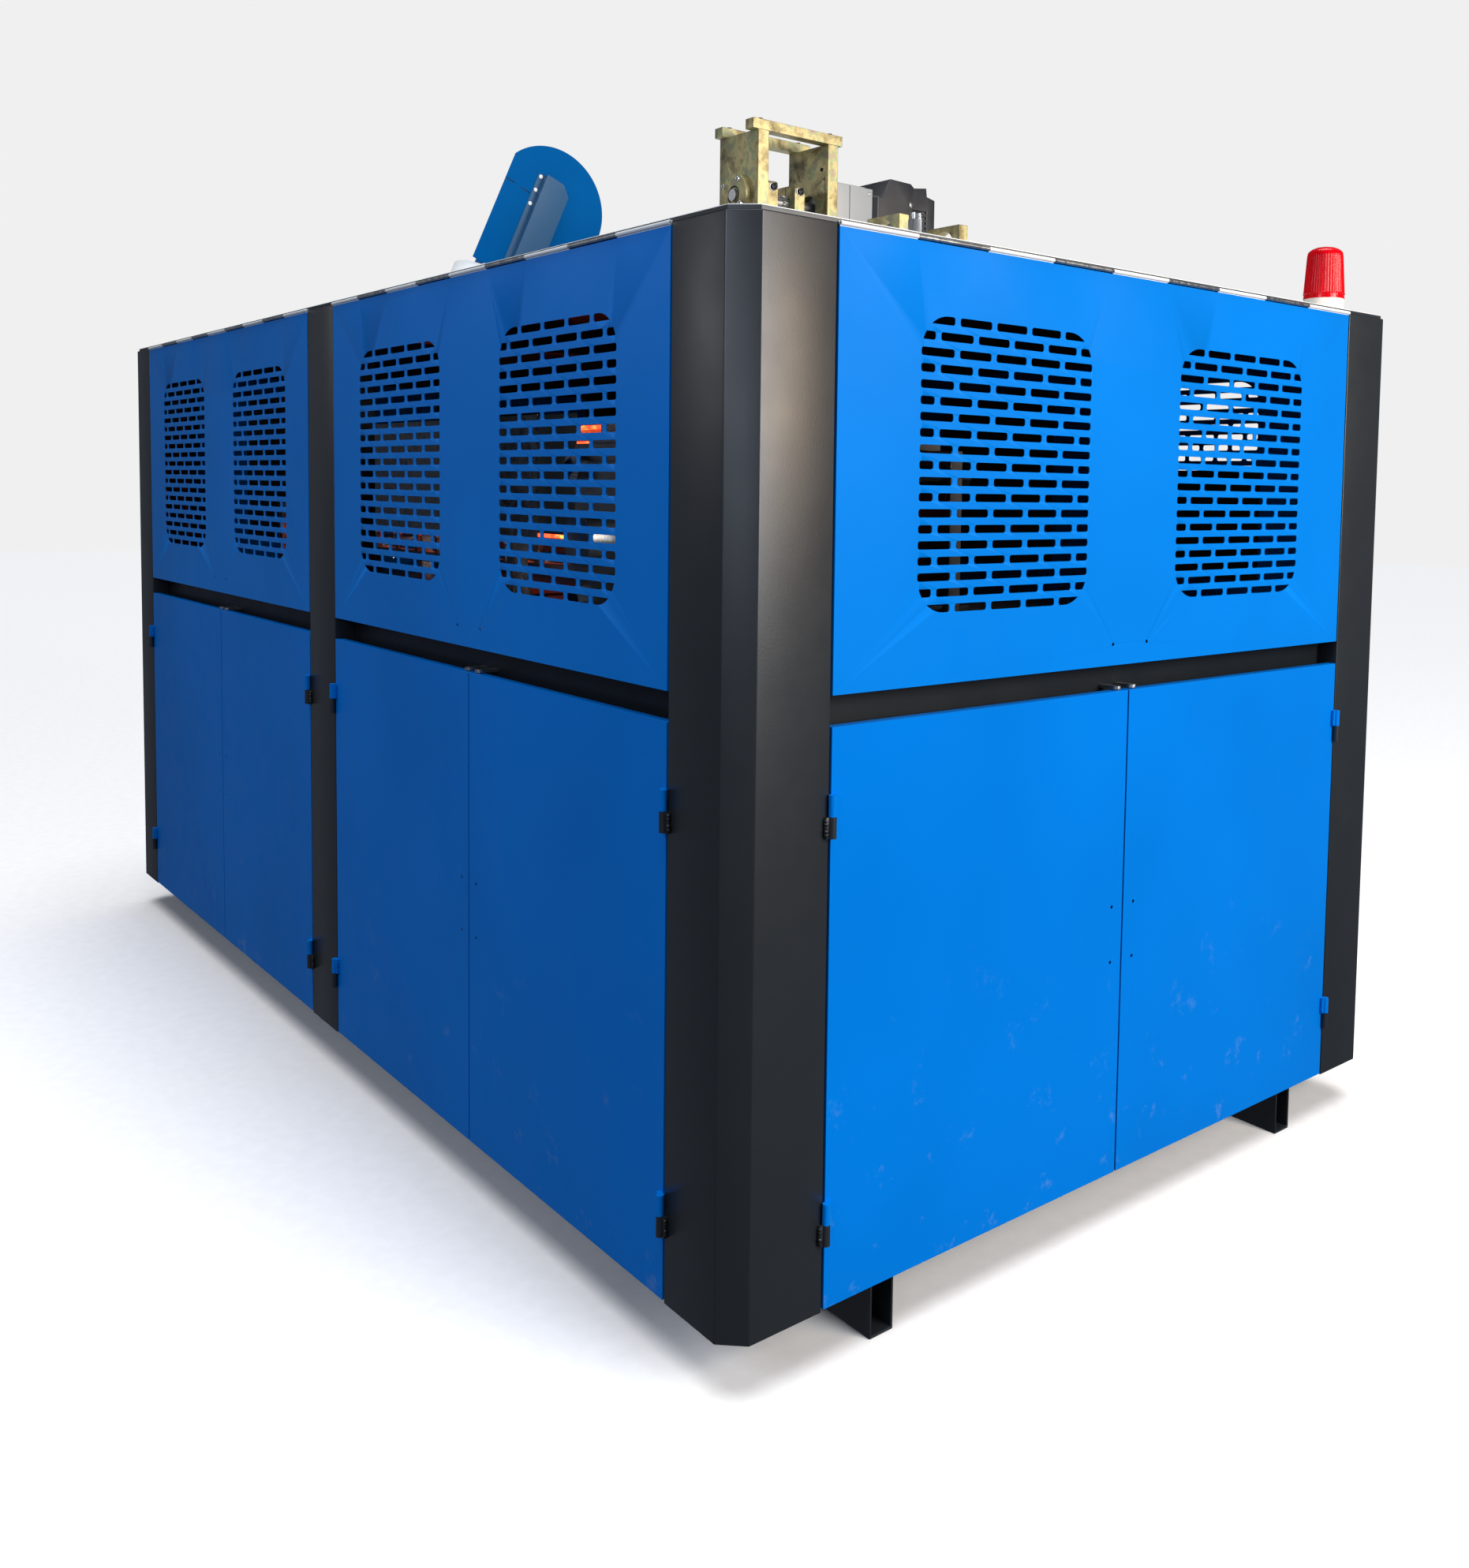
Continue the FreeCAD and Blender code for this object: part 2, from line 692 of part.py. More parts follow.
def mould_half(s):
    """Mould half with its bottle cavities."""
    top = mould_lift + mould[2]
    shape = block(mould, s * (mould_open + mould[1] / 2), mould_lift)
    outline = [(0.0, 1.0), (neck_r, 1.0), (neck_r, -25.0), (body_r, -70.0), (body_r, 12.0 - bottle_h),
               (body_r - 7.0, -bottle_h), (0.0, -bottle_h)]
    for i in range(cavities):
        at = cell((i - (cavities - 1) / 2) * cavity_pitch, s * mould_open, top)
        points = [V(at.x + r, at.y, at.z + z) for r, z in outline]
        bottle = Part.Face(Part.makePolygon(points + [points[0]])).revolve(at, Z_AXIS, 360)
        shape = shape.cut(bottle)
    return [shape]


def cavity_positions():
    """Places of the cavities along X, from the station's centre."""
    return [(i - (cavities - 1) / 2) * cavity_pitch for i in range(cavities)]


def nozzle_beam():
    """Plate on the end plates with the blow nozzles under it."""
    w, d, h = nozzle_plate
    z = end_plate[2]
    shape = block(nozzle_plate, 0, z)
    foot = mould_lift + mould[2] + nozzle_gap
    shape = shape.fuse([rod(nozzle_d, cell(x, 0, foot), cell(x, 0, z)) for x in cavity_positions()])
    for x in cavity_positions():
        shape = shape.cut(rod(nozzle_bore, cell(x, 0, foot - 1), cell(x, 0, z + h + 1)))
    return [shape]


def column_places():
    """Centres of the four guide columns."""
    return [(x, y) for x in (-column_offset, column_offset) for y in (-column_offset, column_offset)]


def stretch_columns():
    """Guide columns with a collar that stops the carriage."""
    foot = end_plate[2] + nozzle_plate[2]
    top = frame_top - top_plate_t - bed_top
    shapes = []
    for x, y in column_places():
        collar = rod(collar_d, cell(x, y, foot), cell(x, y, foot + carriage_lift - seat_gap))
        shapes.append(joined([rod(column_d, cell(x, y, foot), cell(x, y, top)), collar]))
    return shapes


def rack_line():
    """X of the pitch line where rack and pinion meet."""
    return shaft_x - tooth_module * pinion_teeth / 2


def stretch_top_plate():
    """Plate under the roof that ties the columns and carries the roof drive."""
    s = top_plate_size / 2
    z = frame_top - top_plate_t
    plate = box(cell_x - s, cell_x + s, cell_y - s, cell_y + s, z, frame_top)
    ya, yb = pinion_y
    return [plate.cut(box(rack_line() - rack_back - slot_clear, rack_line() + slot_clear,
                          ya - slot_clear, yb + slot_clear, z, frame_top))]


def rack_bar(foot_z):
    """Toothed rack that stands on the carriage and climbs past the pinion."""
    m = tooth_module
    pitch = math.pi * m
    tan = math.tan(math.radians(20))
    top = shaft_z + rack_top_over
    count = int((top - foot_z - 2 * pitch) / pitch)
    x_root = rack_line() - 1.25 * m
    x_tip = rack_line() + m
    points = [V(x_root, 0, foot_z)]
    first = shaft_z - pitch / 2 - math.floor((shaft_z - pitch / 2 - foot_z - pitch) / pitch) * pitch
    for i in range(count):
        z = first + i * pitch
        if z + pitch / 2 > top:
            break
        half = pitch / 4 - backlash / 2
        low = half + 1.25 * m * tan
        high = half - m * tan
        points += [V(x_root, 0, z - low), V(x_tip, 0, z - high), V(x_tip, 0, z + high),
                   V(x_root, 0, z + low)]
    points += [V(x_root, 0, top), V(x_root + 1.25 * m - rack_back, 0, top),
               V(x_root + 1.25 * m - rack_back, 0, foot_z)]
    middle = (pinion_y[0] + pinion_y[1]) / 2
    shape = prism(points, V(0, rack_w, 0))
    shape.translate(V(0, middle - rack_w / 2, 0))
    return shape


def stretch_carriage():
    """Carriage on the columns, with its rack."""
    lift = end_plate[2] + nozzle_plate[2] + carriage_lift
    shape = block(carriage, 0, lift)
    for x, y in column_places():
        shape = shape.cut(rod(column_d + 2 * slide_clear, cell(x, y, lift - 1),
                              cell(x, y, lift + carriage[2] + 1)))
    return [shape, rack_bar(bed_top + lift + carriage[2])]


def stretch_rods():
    """Rods that stretch the preforms."""
    top = end_plate[2] + nozzle_plate[2] + carriage_lift
    tip = mould_lift + mould[2] - bottle_h + rod_tip_clear
    return [rod(stretch_rod_d, cell(x, 0, tip), cell(x, 0, top)) for x in cavity_positions()]


# ---------------------------------------------------------------- drive on the roof
def axis_point(y):
    """Point of the drive shaft's axis."""
    return V(shaft_x, y, shaft_z)


def gear_outline():
    """Involute pinion outline round the shaft axis, with a tooth pointing at the rack."""
    m, n = tooth_module, pinion_teeth
    pitch_r = m * n / 2
    base_r = pitch_r * math.cos(math.radians(20))
    tip_r = pitch_r + m
    root_r = pitch_r - 1.25 * m
    half = math.pi / (2 * n) - backlash / (2 * pitch_r)
    at_pitch = math.tan(math.radians(20)) - math.radians(20)
    flank = []
    for k in range(4):
        r = base_r + (tip_r - base_r) * k / 3
        a = math.acos(min(1.0, base_r / r))
        flank.append((r, half + at_pitch - (math.tan(a) - a)))
    points = []
    for i in range(n):
        mid = math.pi + i * 2 * math.pi / n
        points.append((root_r, mid - flank[0][1]))
        points += [(r, mid - a) for r, a in flank]
        points += [(r, mid + a) for r, a in flank[::-1]]
        points.append((root_r, mid + flank[0][1]))
    return [V(shaft_x + r * math.cos(a), 0, shaft_z + r * math.sin(a)) for r, a in points]


def drive_shaft():
    """Shaft with the pinion cut on it."""
    pinion = prism(gear_outline(), V(0, pinion_y[1] - pinion_y[0], 0))
    pinion.translate(V(0, pinion_y[0], 0))
    return [rod(shaft_d, axis_point(shaft_y[0]), axis_point(shaft_y[1])).fuse(pinion)]


def bracket_plates():
    """Two thick upright plates: bearing plate in front, motor plate behind."""
    shapes = []
    for y, bore in zip(bracket_y, (bearing_d, rear_bore_d)):
        plate = box(shaft_x - bracket_w / 2, shaft_x + bracket_w / 2, y, y + bracket_t, roof_z,
                    bracket_top)
        shapes.append(plate.cut(rod(bore, axis_point(y - 1), axis_point(y + bracket_t + 1))))
    dx, dz = rear_hole_at
    y = bracket_y[1]
    hole = rod(rear_hole_d, V(shaft_x + dx, y - 1, shaft_z + dz),
               V(shaft_x + dx, y + bracket_t + 1, shaft_z + dz))
    return [shapes[0], shapes[1].cut(hole)]


def drive_bracket():
    """Both plates and the bars that tie them at the top."""
    edge = bracket_w / 2
    shapes = bracket_plates()
    for xa in (shaft_x - edge, shaft_x + edge - bar_w):
        shapes.append(box(xa, xa + bar_w, bar_y[0], bar_y[1], bracket_top, bracket_top + bar_h))
    return shapes


def bearing_flange():
    """Flange on the front plate with its bearing ring."""
    y1 = bracket_y[0]
    y0 = y1 - flange_t
    ring = rod(flange_d, axis_point(y0), axis_point(y1)).cut(
        rod(bearing_d, axis_point(y0 - 1), axis_point(y1 + 1)))
    bearing = rod(bearing_d, axis_point(y0 + bearing_recess), axis_point(y1)).cut(
        rod(shaft_d + 2 * pin_clear, axis_point(y0), axis_point(y1 + 1)))
    return [ring, bearing]


def bearing_blocks():
    """Two split blocks that hold the shaft between the plates."""
    shapes = []
    top = shaft_z + block_top
    w = block_w / 2
    for y in block_y:
        shape = box(shaft_x - w, shaft_x + w, y, y + block_t, roof_z, top)
        edges = [e for e in shape.Edges
                 if abs(e.CenterOfMass.z - top) < 1e-6 and abs(abs(e.CenterOfMass.x - shaft_x) - w) < 1e-6]
        shape = shape.makeFillet(block_round, edges)
        shape = shape.cut(rod(shaft_d + 2 * pin_clear, axis_point(y - 1), axis_point(y + block_t + 1)))
        shapes.append(shape.cut(box(shaft_x - block_slit / 2, shaft_x + block_slit / 2, y - 1,
                                    y + block_t + 1, shaft_z, top + 1)))
    return shapes


def servo_motor():
    """Servo body with its pilot in the rear plate's bore."""
    y0 = bracket_y[1] + bracket_t
    w = servo_w / 2
    body = box(shaft_x - w, shaft_x + w, y0, y0 + servo_l, shaft_z - w, shaft_z + w)
    cap = box(shaft_x - w * 0.7, shaft_x + w * 0.55, y0 + 12, y0 + servo_l, shaft_z + w, shaft_z + w + 9)
    pilot = rod(rear_bore_d - 2 * pilot_clear, axis_point(y0 - pilot_l), axis_point(y0))
    bore = rod(shaft_d + 2 * pin_clear, axis_point(y0 - pilot_l - 1), axis_point(shaft_y[1] + 3))
    return [joined([body, cap, pilot]).cut(bore)]


def motor_cover():
    """Moulded housing of the motor's electronics, with cooling slots."""
    y0 = bracket_y[1] + bracket_t + servo_l
    w = cover_w / 2
    side = [(0, -75), (0, 46), (28, 46), (55, 94), (123, 92), (135, 83), (177, 89), (180, 68),
            (207, 62), (207, -75)]
    points = [V(shaft_x - w, y0 + y, shaft_z + z) for y, z in side]
    shape = prism(points, V(cover_w, 0, 0))
    for s in (-1, 1):
        x = shaft_x + s * w
        c = cover_chamfer * s
        wedge = prism([V(x - c, y0, shaft_z - 76), V(x + s, y0 + cover_chamfer + 1, shaft_z - 76),
                       V(x + s, y0, shaft_z - 76)], V(0, 0, 180))
        shape = shape.cut(wedge)
    for i in range(4):
        z = shaft_z + 24 - i * 13
        shape = shape.cut(box(shaft_x + w - 6, shaft_x + w + 1, y0 + 130, y0 + 178, z, z + 5))
    return [shape]


def idler_plates():
    """Low pair of bored plates beside the drive bracket."""
    shapes = []
    x = idler_x
    for y in idler_y:
        plate = box(x - idler_w / 2, x + idler_w / 2, y, y + idler_t, roof_z, roof_z + idler_h)
        shapes.append(plate.cut(rod(idler_bore_d, V(x, y - 1, roof_z + idler_bore_h),
                                    V(x, y + idler_t + 1, roof_z + idler_bore_h))))
    return shapes


def air_port():
    """Bulkhead air coupling on a collar, with two hose nipples and a tag beside it."""
    at = V(air_at[0], air_at[1], roof_z)
    d, h = air_collar
    across, hex_h = air_hex
    r = across / math.sqrt(3.0)
    corners = [V(r * math.cos(math.radians(60 * i)), r * math.sin(math.radians(60 * i)), 0) + at
               + V(0, 0, h) for i in range(6)]
    parts = [Part.makeCylinder(d / 2, h, at), prism(corners, V(0, 0, hex_h))]
    for s in (-1, 1):
        parts.append(Part.makeCylinder(air_nipple_d / 2, air_nipple_h + 1,
                                       at + V(0, s * 7.5, h + hex_h - 1)))
    body = joined(parts).cut(Part.makeCylinder(air_bore_d / 2, h + hex_h - 8, at))
    t, w, high = air_tab
    return [body, box(at.x - t / 2, at.x + t / 2, at.y - d / 2 - w + 18, at.y - d / 2 - 2, roof_z,
                      roof_z + high)]


# ---------------------------------------------------------------- extraction fan
TILT = math.radians(fan_tilt)
DOWN = V(0, -math.sin(TILT), -math.cos(TILT))       # along the discharge
OUT = V(0, -math.cos(TILT), math.sin(TILT))         # across it, towards the straight wall


def fan_point(x, out, down):
    """Point measured from the fan's axis along and across the discharge."""
    return V(x, fan_y, fan_z) + OUT * out + DOWN * down


def duct_solid(r, x_front):
    """Round bar along the discharge, longer than the duct."""
    x = x_front - duct_d / 2 + 5
    middle = fan_left - duct_d / 2
    return Part.makeCylinder(r, 600, fan_point(x, middle, duct_start), DOWN)


def scroll(inset, x0, x1, extra):
    """Scroll outline as a solid: round body and the straight discharge."""
    r = fan_r - inset
    left = fan_left - inset
    right = fan_left - duct_d + inset
    body = Part.makeCylinder(r, x1 - x0, V(x0, fan_y, fan_z), X_AXIS)
    rise = 65.0
    line = [fan_point(x0, left, -rise), fan_point(x0, left, duct_start + extra),
            fan_point(x0, right, duct_start + extra), fan_point(x0, right, -rise)]
    duct = prism(line, V(x1 - x0, 0, 0))
    trim = prism([fan_point(x0, left, -2 * r), fan_point(x0, 3 * r, -2 * r),
                  fan_point(x0, 3 * r, 2 * r), fan_point(x0, left, 2 * r)], V(x1 - x0, 0, 0))
    return body.cut(trim).fuse(duct)


def fan_housing():
    """Scroll sheet housing under a wider front plate, open at the discharge, inlet behind."""
    x0, x1 = fan_x
    t = fan_sheet
    shell = scroll(fan_rim, x0, x1, 0).cut(scroll(fan_rim + t, x0 + t, x1 - t, 5))
    shell = shell.fuse(scroll(0, x1 - t, x1, 0))
    shell = shell.cut(Part.makeCylinder(fan_eye_r, 2 * t, V(x0 - t, fan_y, fan_z), X_AXIS))
    return [shell]


def fan_cover():
    """Folded channel screwed on the scroll's face, its upper corner cut off."""
    w, h = cover_channel
    t = 1.5
    x = fan_x[1]

    def slab(inset, height, flange):
        line = [fan_point(x, cover_left - inset + flange, -cover_top + inset),
                fan_point(x, cover_left - inset + flange, cover_len - cover_top - inset),
                fan_point(x, cover_left - w + inset, cover_len - cover_top - inset),
                fan_point(x, cover_left - w + inset, -cover_top + cover_cut + inset),
                fan_point(x, cover_left - w + cover_cut + inset, -cover_top + inset)]
        return prism(line, V(height, 0, 0))
    return [slab(0, h, 0).cut(slab(t, h - t, 0)).fuse(slab(0, t, 16).cut(slab(t, t, 0)))]


def fan_duct():
    """Round duct from the scroll through the roof, with a lid round the scroll and a joint ring."""
    r = duct_d / 2
    x0, x = fan_x
    t = fan_sheet
    left, right = fan_left - fan_rim, fan_left - duct_d + fan_rim

    def throat(inset, depth):
        line = [fan_point(x0 + inset, left - inset, duct_start),
                fan_point(x - inset, left - inset, duct_start),
                fan_point(x - inset, right + inset, duct_start),
                fan_point(x0 + inset, right + inset, duct_start)]
        return prism(line, DOWN * depth)
    lid = Part.makeCylinder(r, t, fan_point(x - r + 5, fan_left - r, duct_start), DOWN).fuse(
        throat(0, t)).cut(throat(t, t))
    outer = duct_solid(r, x)
    ring_at = fan_point(x - r + 5, fan_left - r, duct_ring_start)
    ring = Part.makeCylinder(r + duct_ring_t, 600, ring_at, DOWN)
    shape = outer.fuse(ring).cut(duct_solid(r - t, x)).fuse(lid)
    return [shape.common(box(x - 600, x + 600, fan_y - 600, fan_y + 600, roof_z, fan_z + 300))]


def fan_impeller():
    """Squirrel cage wheel with its shaft."""
    x0 = fan_x[0] + 22
    centre = V(x0, fan_y, fan_z)
    disc = Part.makeCylinder(impeller_r, 3, centre, X_AXIS)
    ring = Part.makeCylinder(impeller_r, 3, centre + V(impeller_w, 0, 0), X_AXIS).cut(
        Part.makeCylinder(impeller_r - 22, 5, centre + V(impeller_w - 1, 0, 0), X_AXIS))
    parts = [disc, ring, Part.makeCylinder(28, 30, centre, X_AXIS),
             Part.makeCylinder(fan_shaft_d / 2, fan_shaft_back + impeller_w,
                               centre - V(fan_shaft_back, 0, 0), X_AXIS)]
    blade = box(x0 + 1, x0 + impeller_w + 1, fan_y + impeller_r - 20, fan_y + impeller_r - 2,
                fan_z - 1, fan_z + 1)
    for i in range(impeller_blades):
        one = blade.copy()
        one.rotate(centre, X_AXIS, i * 360.0 / impeller_blades)
        parts.append(one)
    return [parts[0].fuse(parts[1:])]


def fan_motor():
    """Motor on three arms across the inlet."""
    x1 = fan_x[0]
    centre = V(x1 - 8, fan_y, fan_z)
    body = Part.makeCylinder(fan_motor_d / 2, fan_motor_l, centre - V(fan_motor_l, 0, 0), X_AXIS)
    parts = [Part.makeCylinder(fan_motor_d / 2 - 8, 8, centre, X_AXIS)]
    arm = box(x1 - 8, x1, fan_y, fan_y + fan_eye_r + 25, fan_z - 12, fan_z + 12)
    for i in range(3):
        one = arm.copy()
        one.rotate(centre, X_AXIS, 90 + i * 120.0)
        parts.append(one)
    bore = Part.makeCylinder(fan_shaft_d / 2 + pin_clear, 40,
                             V(x1 + 22 - fan_shaft_back - 5, fan_y, fan_z), X_AXIS)
    return [body.fuse(parts).cut(bore)]


# ---------------------------------------------------------------- warning light
def beacon_base():
    """Base with the stub that the reflector turns on."""
    at = V(beacon_x, beacon_y, roof_z)
    up = V(0, 0, beacon_base_h)
    return [joined([Part.makeCylinder(beacon_base_r, beacon_base_h, at),
                    Part.makeCylinder(18, 16, at + up),
                    Part.makeCylinder(stub_d / 2, 34, at + up)])]


def lens_profile(inset):
    """Solid inside the lens's surface: a cone under a low dome."""
    foot = roof_z + beacon_base_h
    shoulder = lens_h - dome_h
    r0, r1 = lens_r[0] - inset, lens_r[1] - inset
    rise = dome_h - inset
    ball = (r1 * r1 + rise * rise) / (2 * rise)
    mid = V(r1 / 2, 0, foot + shoulder + rise - ball + math.sqrt(ball * ball - r1 * r1 / 4))
    top = V(0, 0, foot + shoulder + rise)
    dome = Part.Arc(V(r1, 0, foot + shoulder), mid, top).toShape()
    side = Part.makePolygon([top, V(0, 0, foot), V(r0, 0, foot), V(r1, 0, foot + shoulder)])
    return Part.Face(Part.Wire(side.Edges + [dome])).revolve(V(0, 0, 0), Z_AXIS, 360)


def beacon_lens():
    """Thin moulded lens, open below."""
    shell = lens_profile(0).cut(lens_profile(lens_t))
    shell.translate(V(beacon_x, beacon_y, 0))
    return [shell]


def beacon_reflector():
    """Curved reflector on a hub."""
    at = V(beacon_x, beacon_y, roof_z + beacon_base_h + 16 + seat_gap)
    hub = Part.makeCylinder(17, 8, at).cut(Part.makeCylinder(stub_d / 2 + pin_clear, 10, at - V(0, 0, 1)))
    shell = Part.makeCylinder(32, 62, at, Z_AXIS, 150).cut(
        Part.makeCylinder(30, 64, at - V(0, 0, 1), Z_AXIS, 360))
    web = Part.makeCylinder(31, 6, at, Z_AXIS, 150).cut(Part.makeCylinder(10, 8, at - V(0, 0, 1)))
    return [hub.fuse([web, shell])]


# ---------------------------------------------------------------- oven and carrier chain
def oven_boxes():
    """Two reflector banks on legs, open towards the preforms, and a shield facing each bank."""
    x0, x1 = oven_x
    z0, z1 = oven_z
    t = oven_t
    shapes = []
    for s in (-1, 1):
        front = cell_y + s * oven_y
        back = front - s * oven_depth
        ya, yb = sorted((front, back))
        inner_a, inner_b = sorted((front + s, back + s * t))
        shell = box(x0, x1, ya, yb, z0, z1).cut(box(x0 + t, x1 - t, inner_a, inner_b, z0 + t, z1 - t))
        step = (x1 - x0 - 2 * t) / oven_modules
        walls = [box(x0 + t + i * step - t / 2, x0 + t + i * step + t / 2, ya, yb, z0, z1)
                 for i in range(1, oven_modules)]
        shapes.append(shell.fuse(walls))
        for x in leg_x:
            ly = (ya + yb) / 2
            shapes.append(box(x, x + leg_w, ly - leg_w / 2, ly + leg_w / 2, bed_top, z0))
        outer = cell_y + s * (loop_r + shield_out)
        ya, yb = sorted((outer - s * t, outer))
        la, lb = sorted((outer, outer + s * leg_w))
        legs = [box(x, x + leg_w, la, lb, bed_top, shield_z[0] + shield_foot) for x in shield_leg_x]
        shapes.append(box(x0, x1, ya, yb, shield_z[0], shield_z[1]).fuse(legs))
    return shapes


def heater_lamps():
    """Quartz tube lamps between the walls of each module."""
    x0, x1 = oven_x
    t = oven_t
    step = (x1 - x0 - 2 * t) / oven_modules
    pitch = (oven_z[1] - oven_z[0]) / lamp_rows
    lamps = []
    for s in (-1, 1):
        y = cell_y + s * (oven_y - oven_depth + lamp_from_back)
        for i in range(oven_modules):
            a = x0 + t + i * step + (t / 2 if i else 0)
            b = x0 + t + (i + 1) * step - (t / 2 if i < oven_modules - 1 else 0)
            for k in range(lamp_rows):
                z = oven_z[0] + pitch * (k + 0.5)
                lamps.append(rod(lamp_d, V(a, y, z), V(b, y, z)))
    return lamps


def stadium(r, z0, z1):
    """Solid over the plan of the chain's loop."""
    a, b = loop_x
    return joined([box(a, b, cell_y - r, cell_y + r, z0, z1),
                   Part.makeCylinder(r, z1 - z0, V(a, cell_y, z0)),
                   Part.makeCylinder(r, z1 - z0, V(b, cell_y, z0))])


def carrier_chain():
    """Endless carrier chain, standing still, with a spindle on each carrier."""
    z0, z1 = chain_z
    band = stadium(loop_r + chain_t, z0, z1).cut(stadium(loop_r, z0 - 1, z1 + 1))
    places = []
    a, b = loop_x
    mid_r = loop_r + chain_t / 2
    for i in range(spindles_run):
        x = a + (i + 0.5) * (b - a) / spindles_run
        places += [(x, cell_y - mid_r), (x, cell_y + mid_r)]
    for i in range(spindles_turn):
        turn = math.radians(-90 + (i + 0.5) * 180 / spindles_turn)
        places.append((b + mid_r * math.cos(turn), cell_y + mid_r * math.sin(turn)))
        places.append((a - mid_r * math.cos(turn), cell_y + mid_r * math.sin(turn)))
    spindles = [Part.makeCylinder(spindle_d / 2, spindle_h, V(x, y, z1 - 4)) for x, y in places]
    return [band.fuse(spindles)]


def carrier_wheel():
    """Wheel that drives the chain, with lightening holes and its shaft."""
    z = (chain_z[0] + chain_z[1] - wheel_t) / 2
    at = V(loop_x[1], cell_y, z)
    shape = Part.makeCylinder(loop_r - chain_clear, wheel_t, at)
    for i in range(6):
        a = math.radians(60 * i)
        shape = shape.cut(Part.makeCylinder(65, wheel_t + 2,
                                            at + V(185 * math.cos(a), 185 * math.sin(a), -1)))
    hub = Part.makeCylinder(wheel_hub_d / 2, wheel_t + 24, at - V(0, 0, 12))
    foot = bed_top + 20.0
    shaft = Part.makeCylinder(wheel_shaft_d / 2, z - foot, V(loop_x[1], cell_y, foot))
    return [shape.fuse([hub, shaft])]


def chain_guides():
    """Bearing post of the wheel, and the fixed half disc that carries the chain's far turn."""
    z_wheel = (chain_z[0] + chain_z[1] - wheel_t) / 2 - 12 - seat_gap
    at = V(loop_x[1], cell_y, bed_top)
    post = Part.makeCylinder(bearing_post_d / 2, z_wheel - bed_top, at).cut(
        Part.makeCylinder(wheel_shaft_d / 2 + slide_clear, z_wheel, at + V(0, 0, 19)))
    far = V(loop_x[0], cell_y, chain_z[0])
    disc = Part.makeCylinder(loop_r - chain_clear, chain_z[1] - chain_z[0] - 5, far, Z_AXIS, 180)
    ledge = Part.makeCylinder(loop_r + chain_t, ledge_t, far - V(0, 0, ledge_t), Z_AXIS, 180)
    for half_disc in (disc, ledge):
        half_disc.rotate(far, Z_AXIS, 90)
    stem = Part.makeCylinder(bearing_post_d / 2, chain_z[0] - bed_top, V(far.x - 100, far.y, bed_top))
    return [post, disc.fuse([ledge, stem])]


# ---------------------------------------------------------------- lower compartments
def electrical_cabinet():
    """Closed sheet cabinet on the base bearers."""
    w, d, h = cabinet
    x = -(bearer_x[0] + bearer_x[1]) / 2
    z = rail_h + tube_h
    t = cabinet_t
    outer = box(x - w / 2, x + w / 2, -d / 2, d / 2, z, z + h)
    return [outer.cut(box(x - w / 2 + t, x + w / 2 - t, -d / 2 + t, d / 2 - t, z + t, z + h - t))]


def air_tank():
    """Horizontal air tank with dished ends, on two saddles."""
    r = tank_d / 2
    z = rail_h + tube_h + saddle_lift + r
    x = (bearer_x[0] + bearer_x[1]) / 2
    half = tank_l / 2

    def vessel(inset):
        rr = r - inset
        dish = tank_dish - inset
        ball = (rr * rr + dish * dish) / (2 * dish)
        shape = Part.makeCylinder(rr, tank_l, V(x - half, tank_y, z), X_AXIS)
        for s in (-1, 1):
            end = x + s * half
            cap = Part.makeSphere(ball, V(end + s * (dish - ball), tank_y, z), Z_AXIS)
            xa, xb = sorted((end, end + s * tank_dish))
            shape = shape.fuse(cap.common(box(xa, xb, tank_y - r, tank_y + r, z - r, z + r)))
        return shape

    shapes = [vessel(0).cut(vessel(tank_wall))]
    for bx in bearer_x:
        inner = bx + (saddle_t if bx < x else -saddle_t)
        xa, xb = sorted((bx, inner))
        saddle = box(xa, xb, tank_y - r * 0.8, tank_y + r * 0.8, rail_h + tube_h, z - r * 0.6)
        shapes.append(saddle.cut(Part.makeCylinder(r + seat_gap, tank_l, V(x - half, tank_y, z), X_AXIS)))
    return shapes


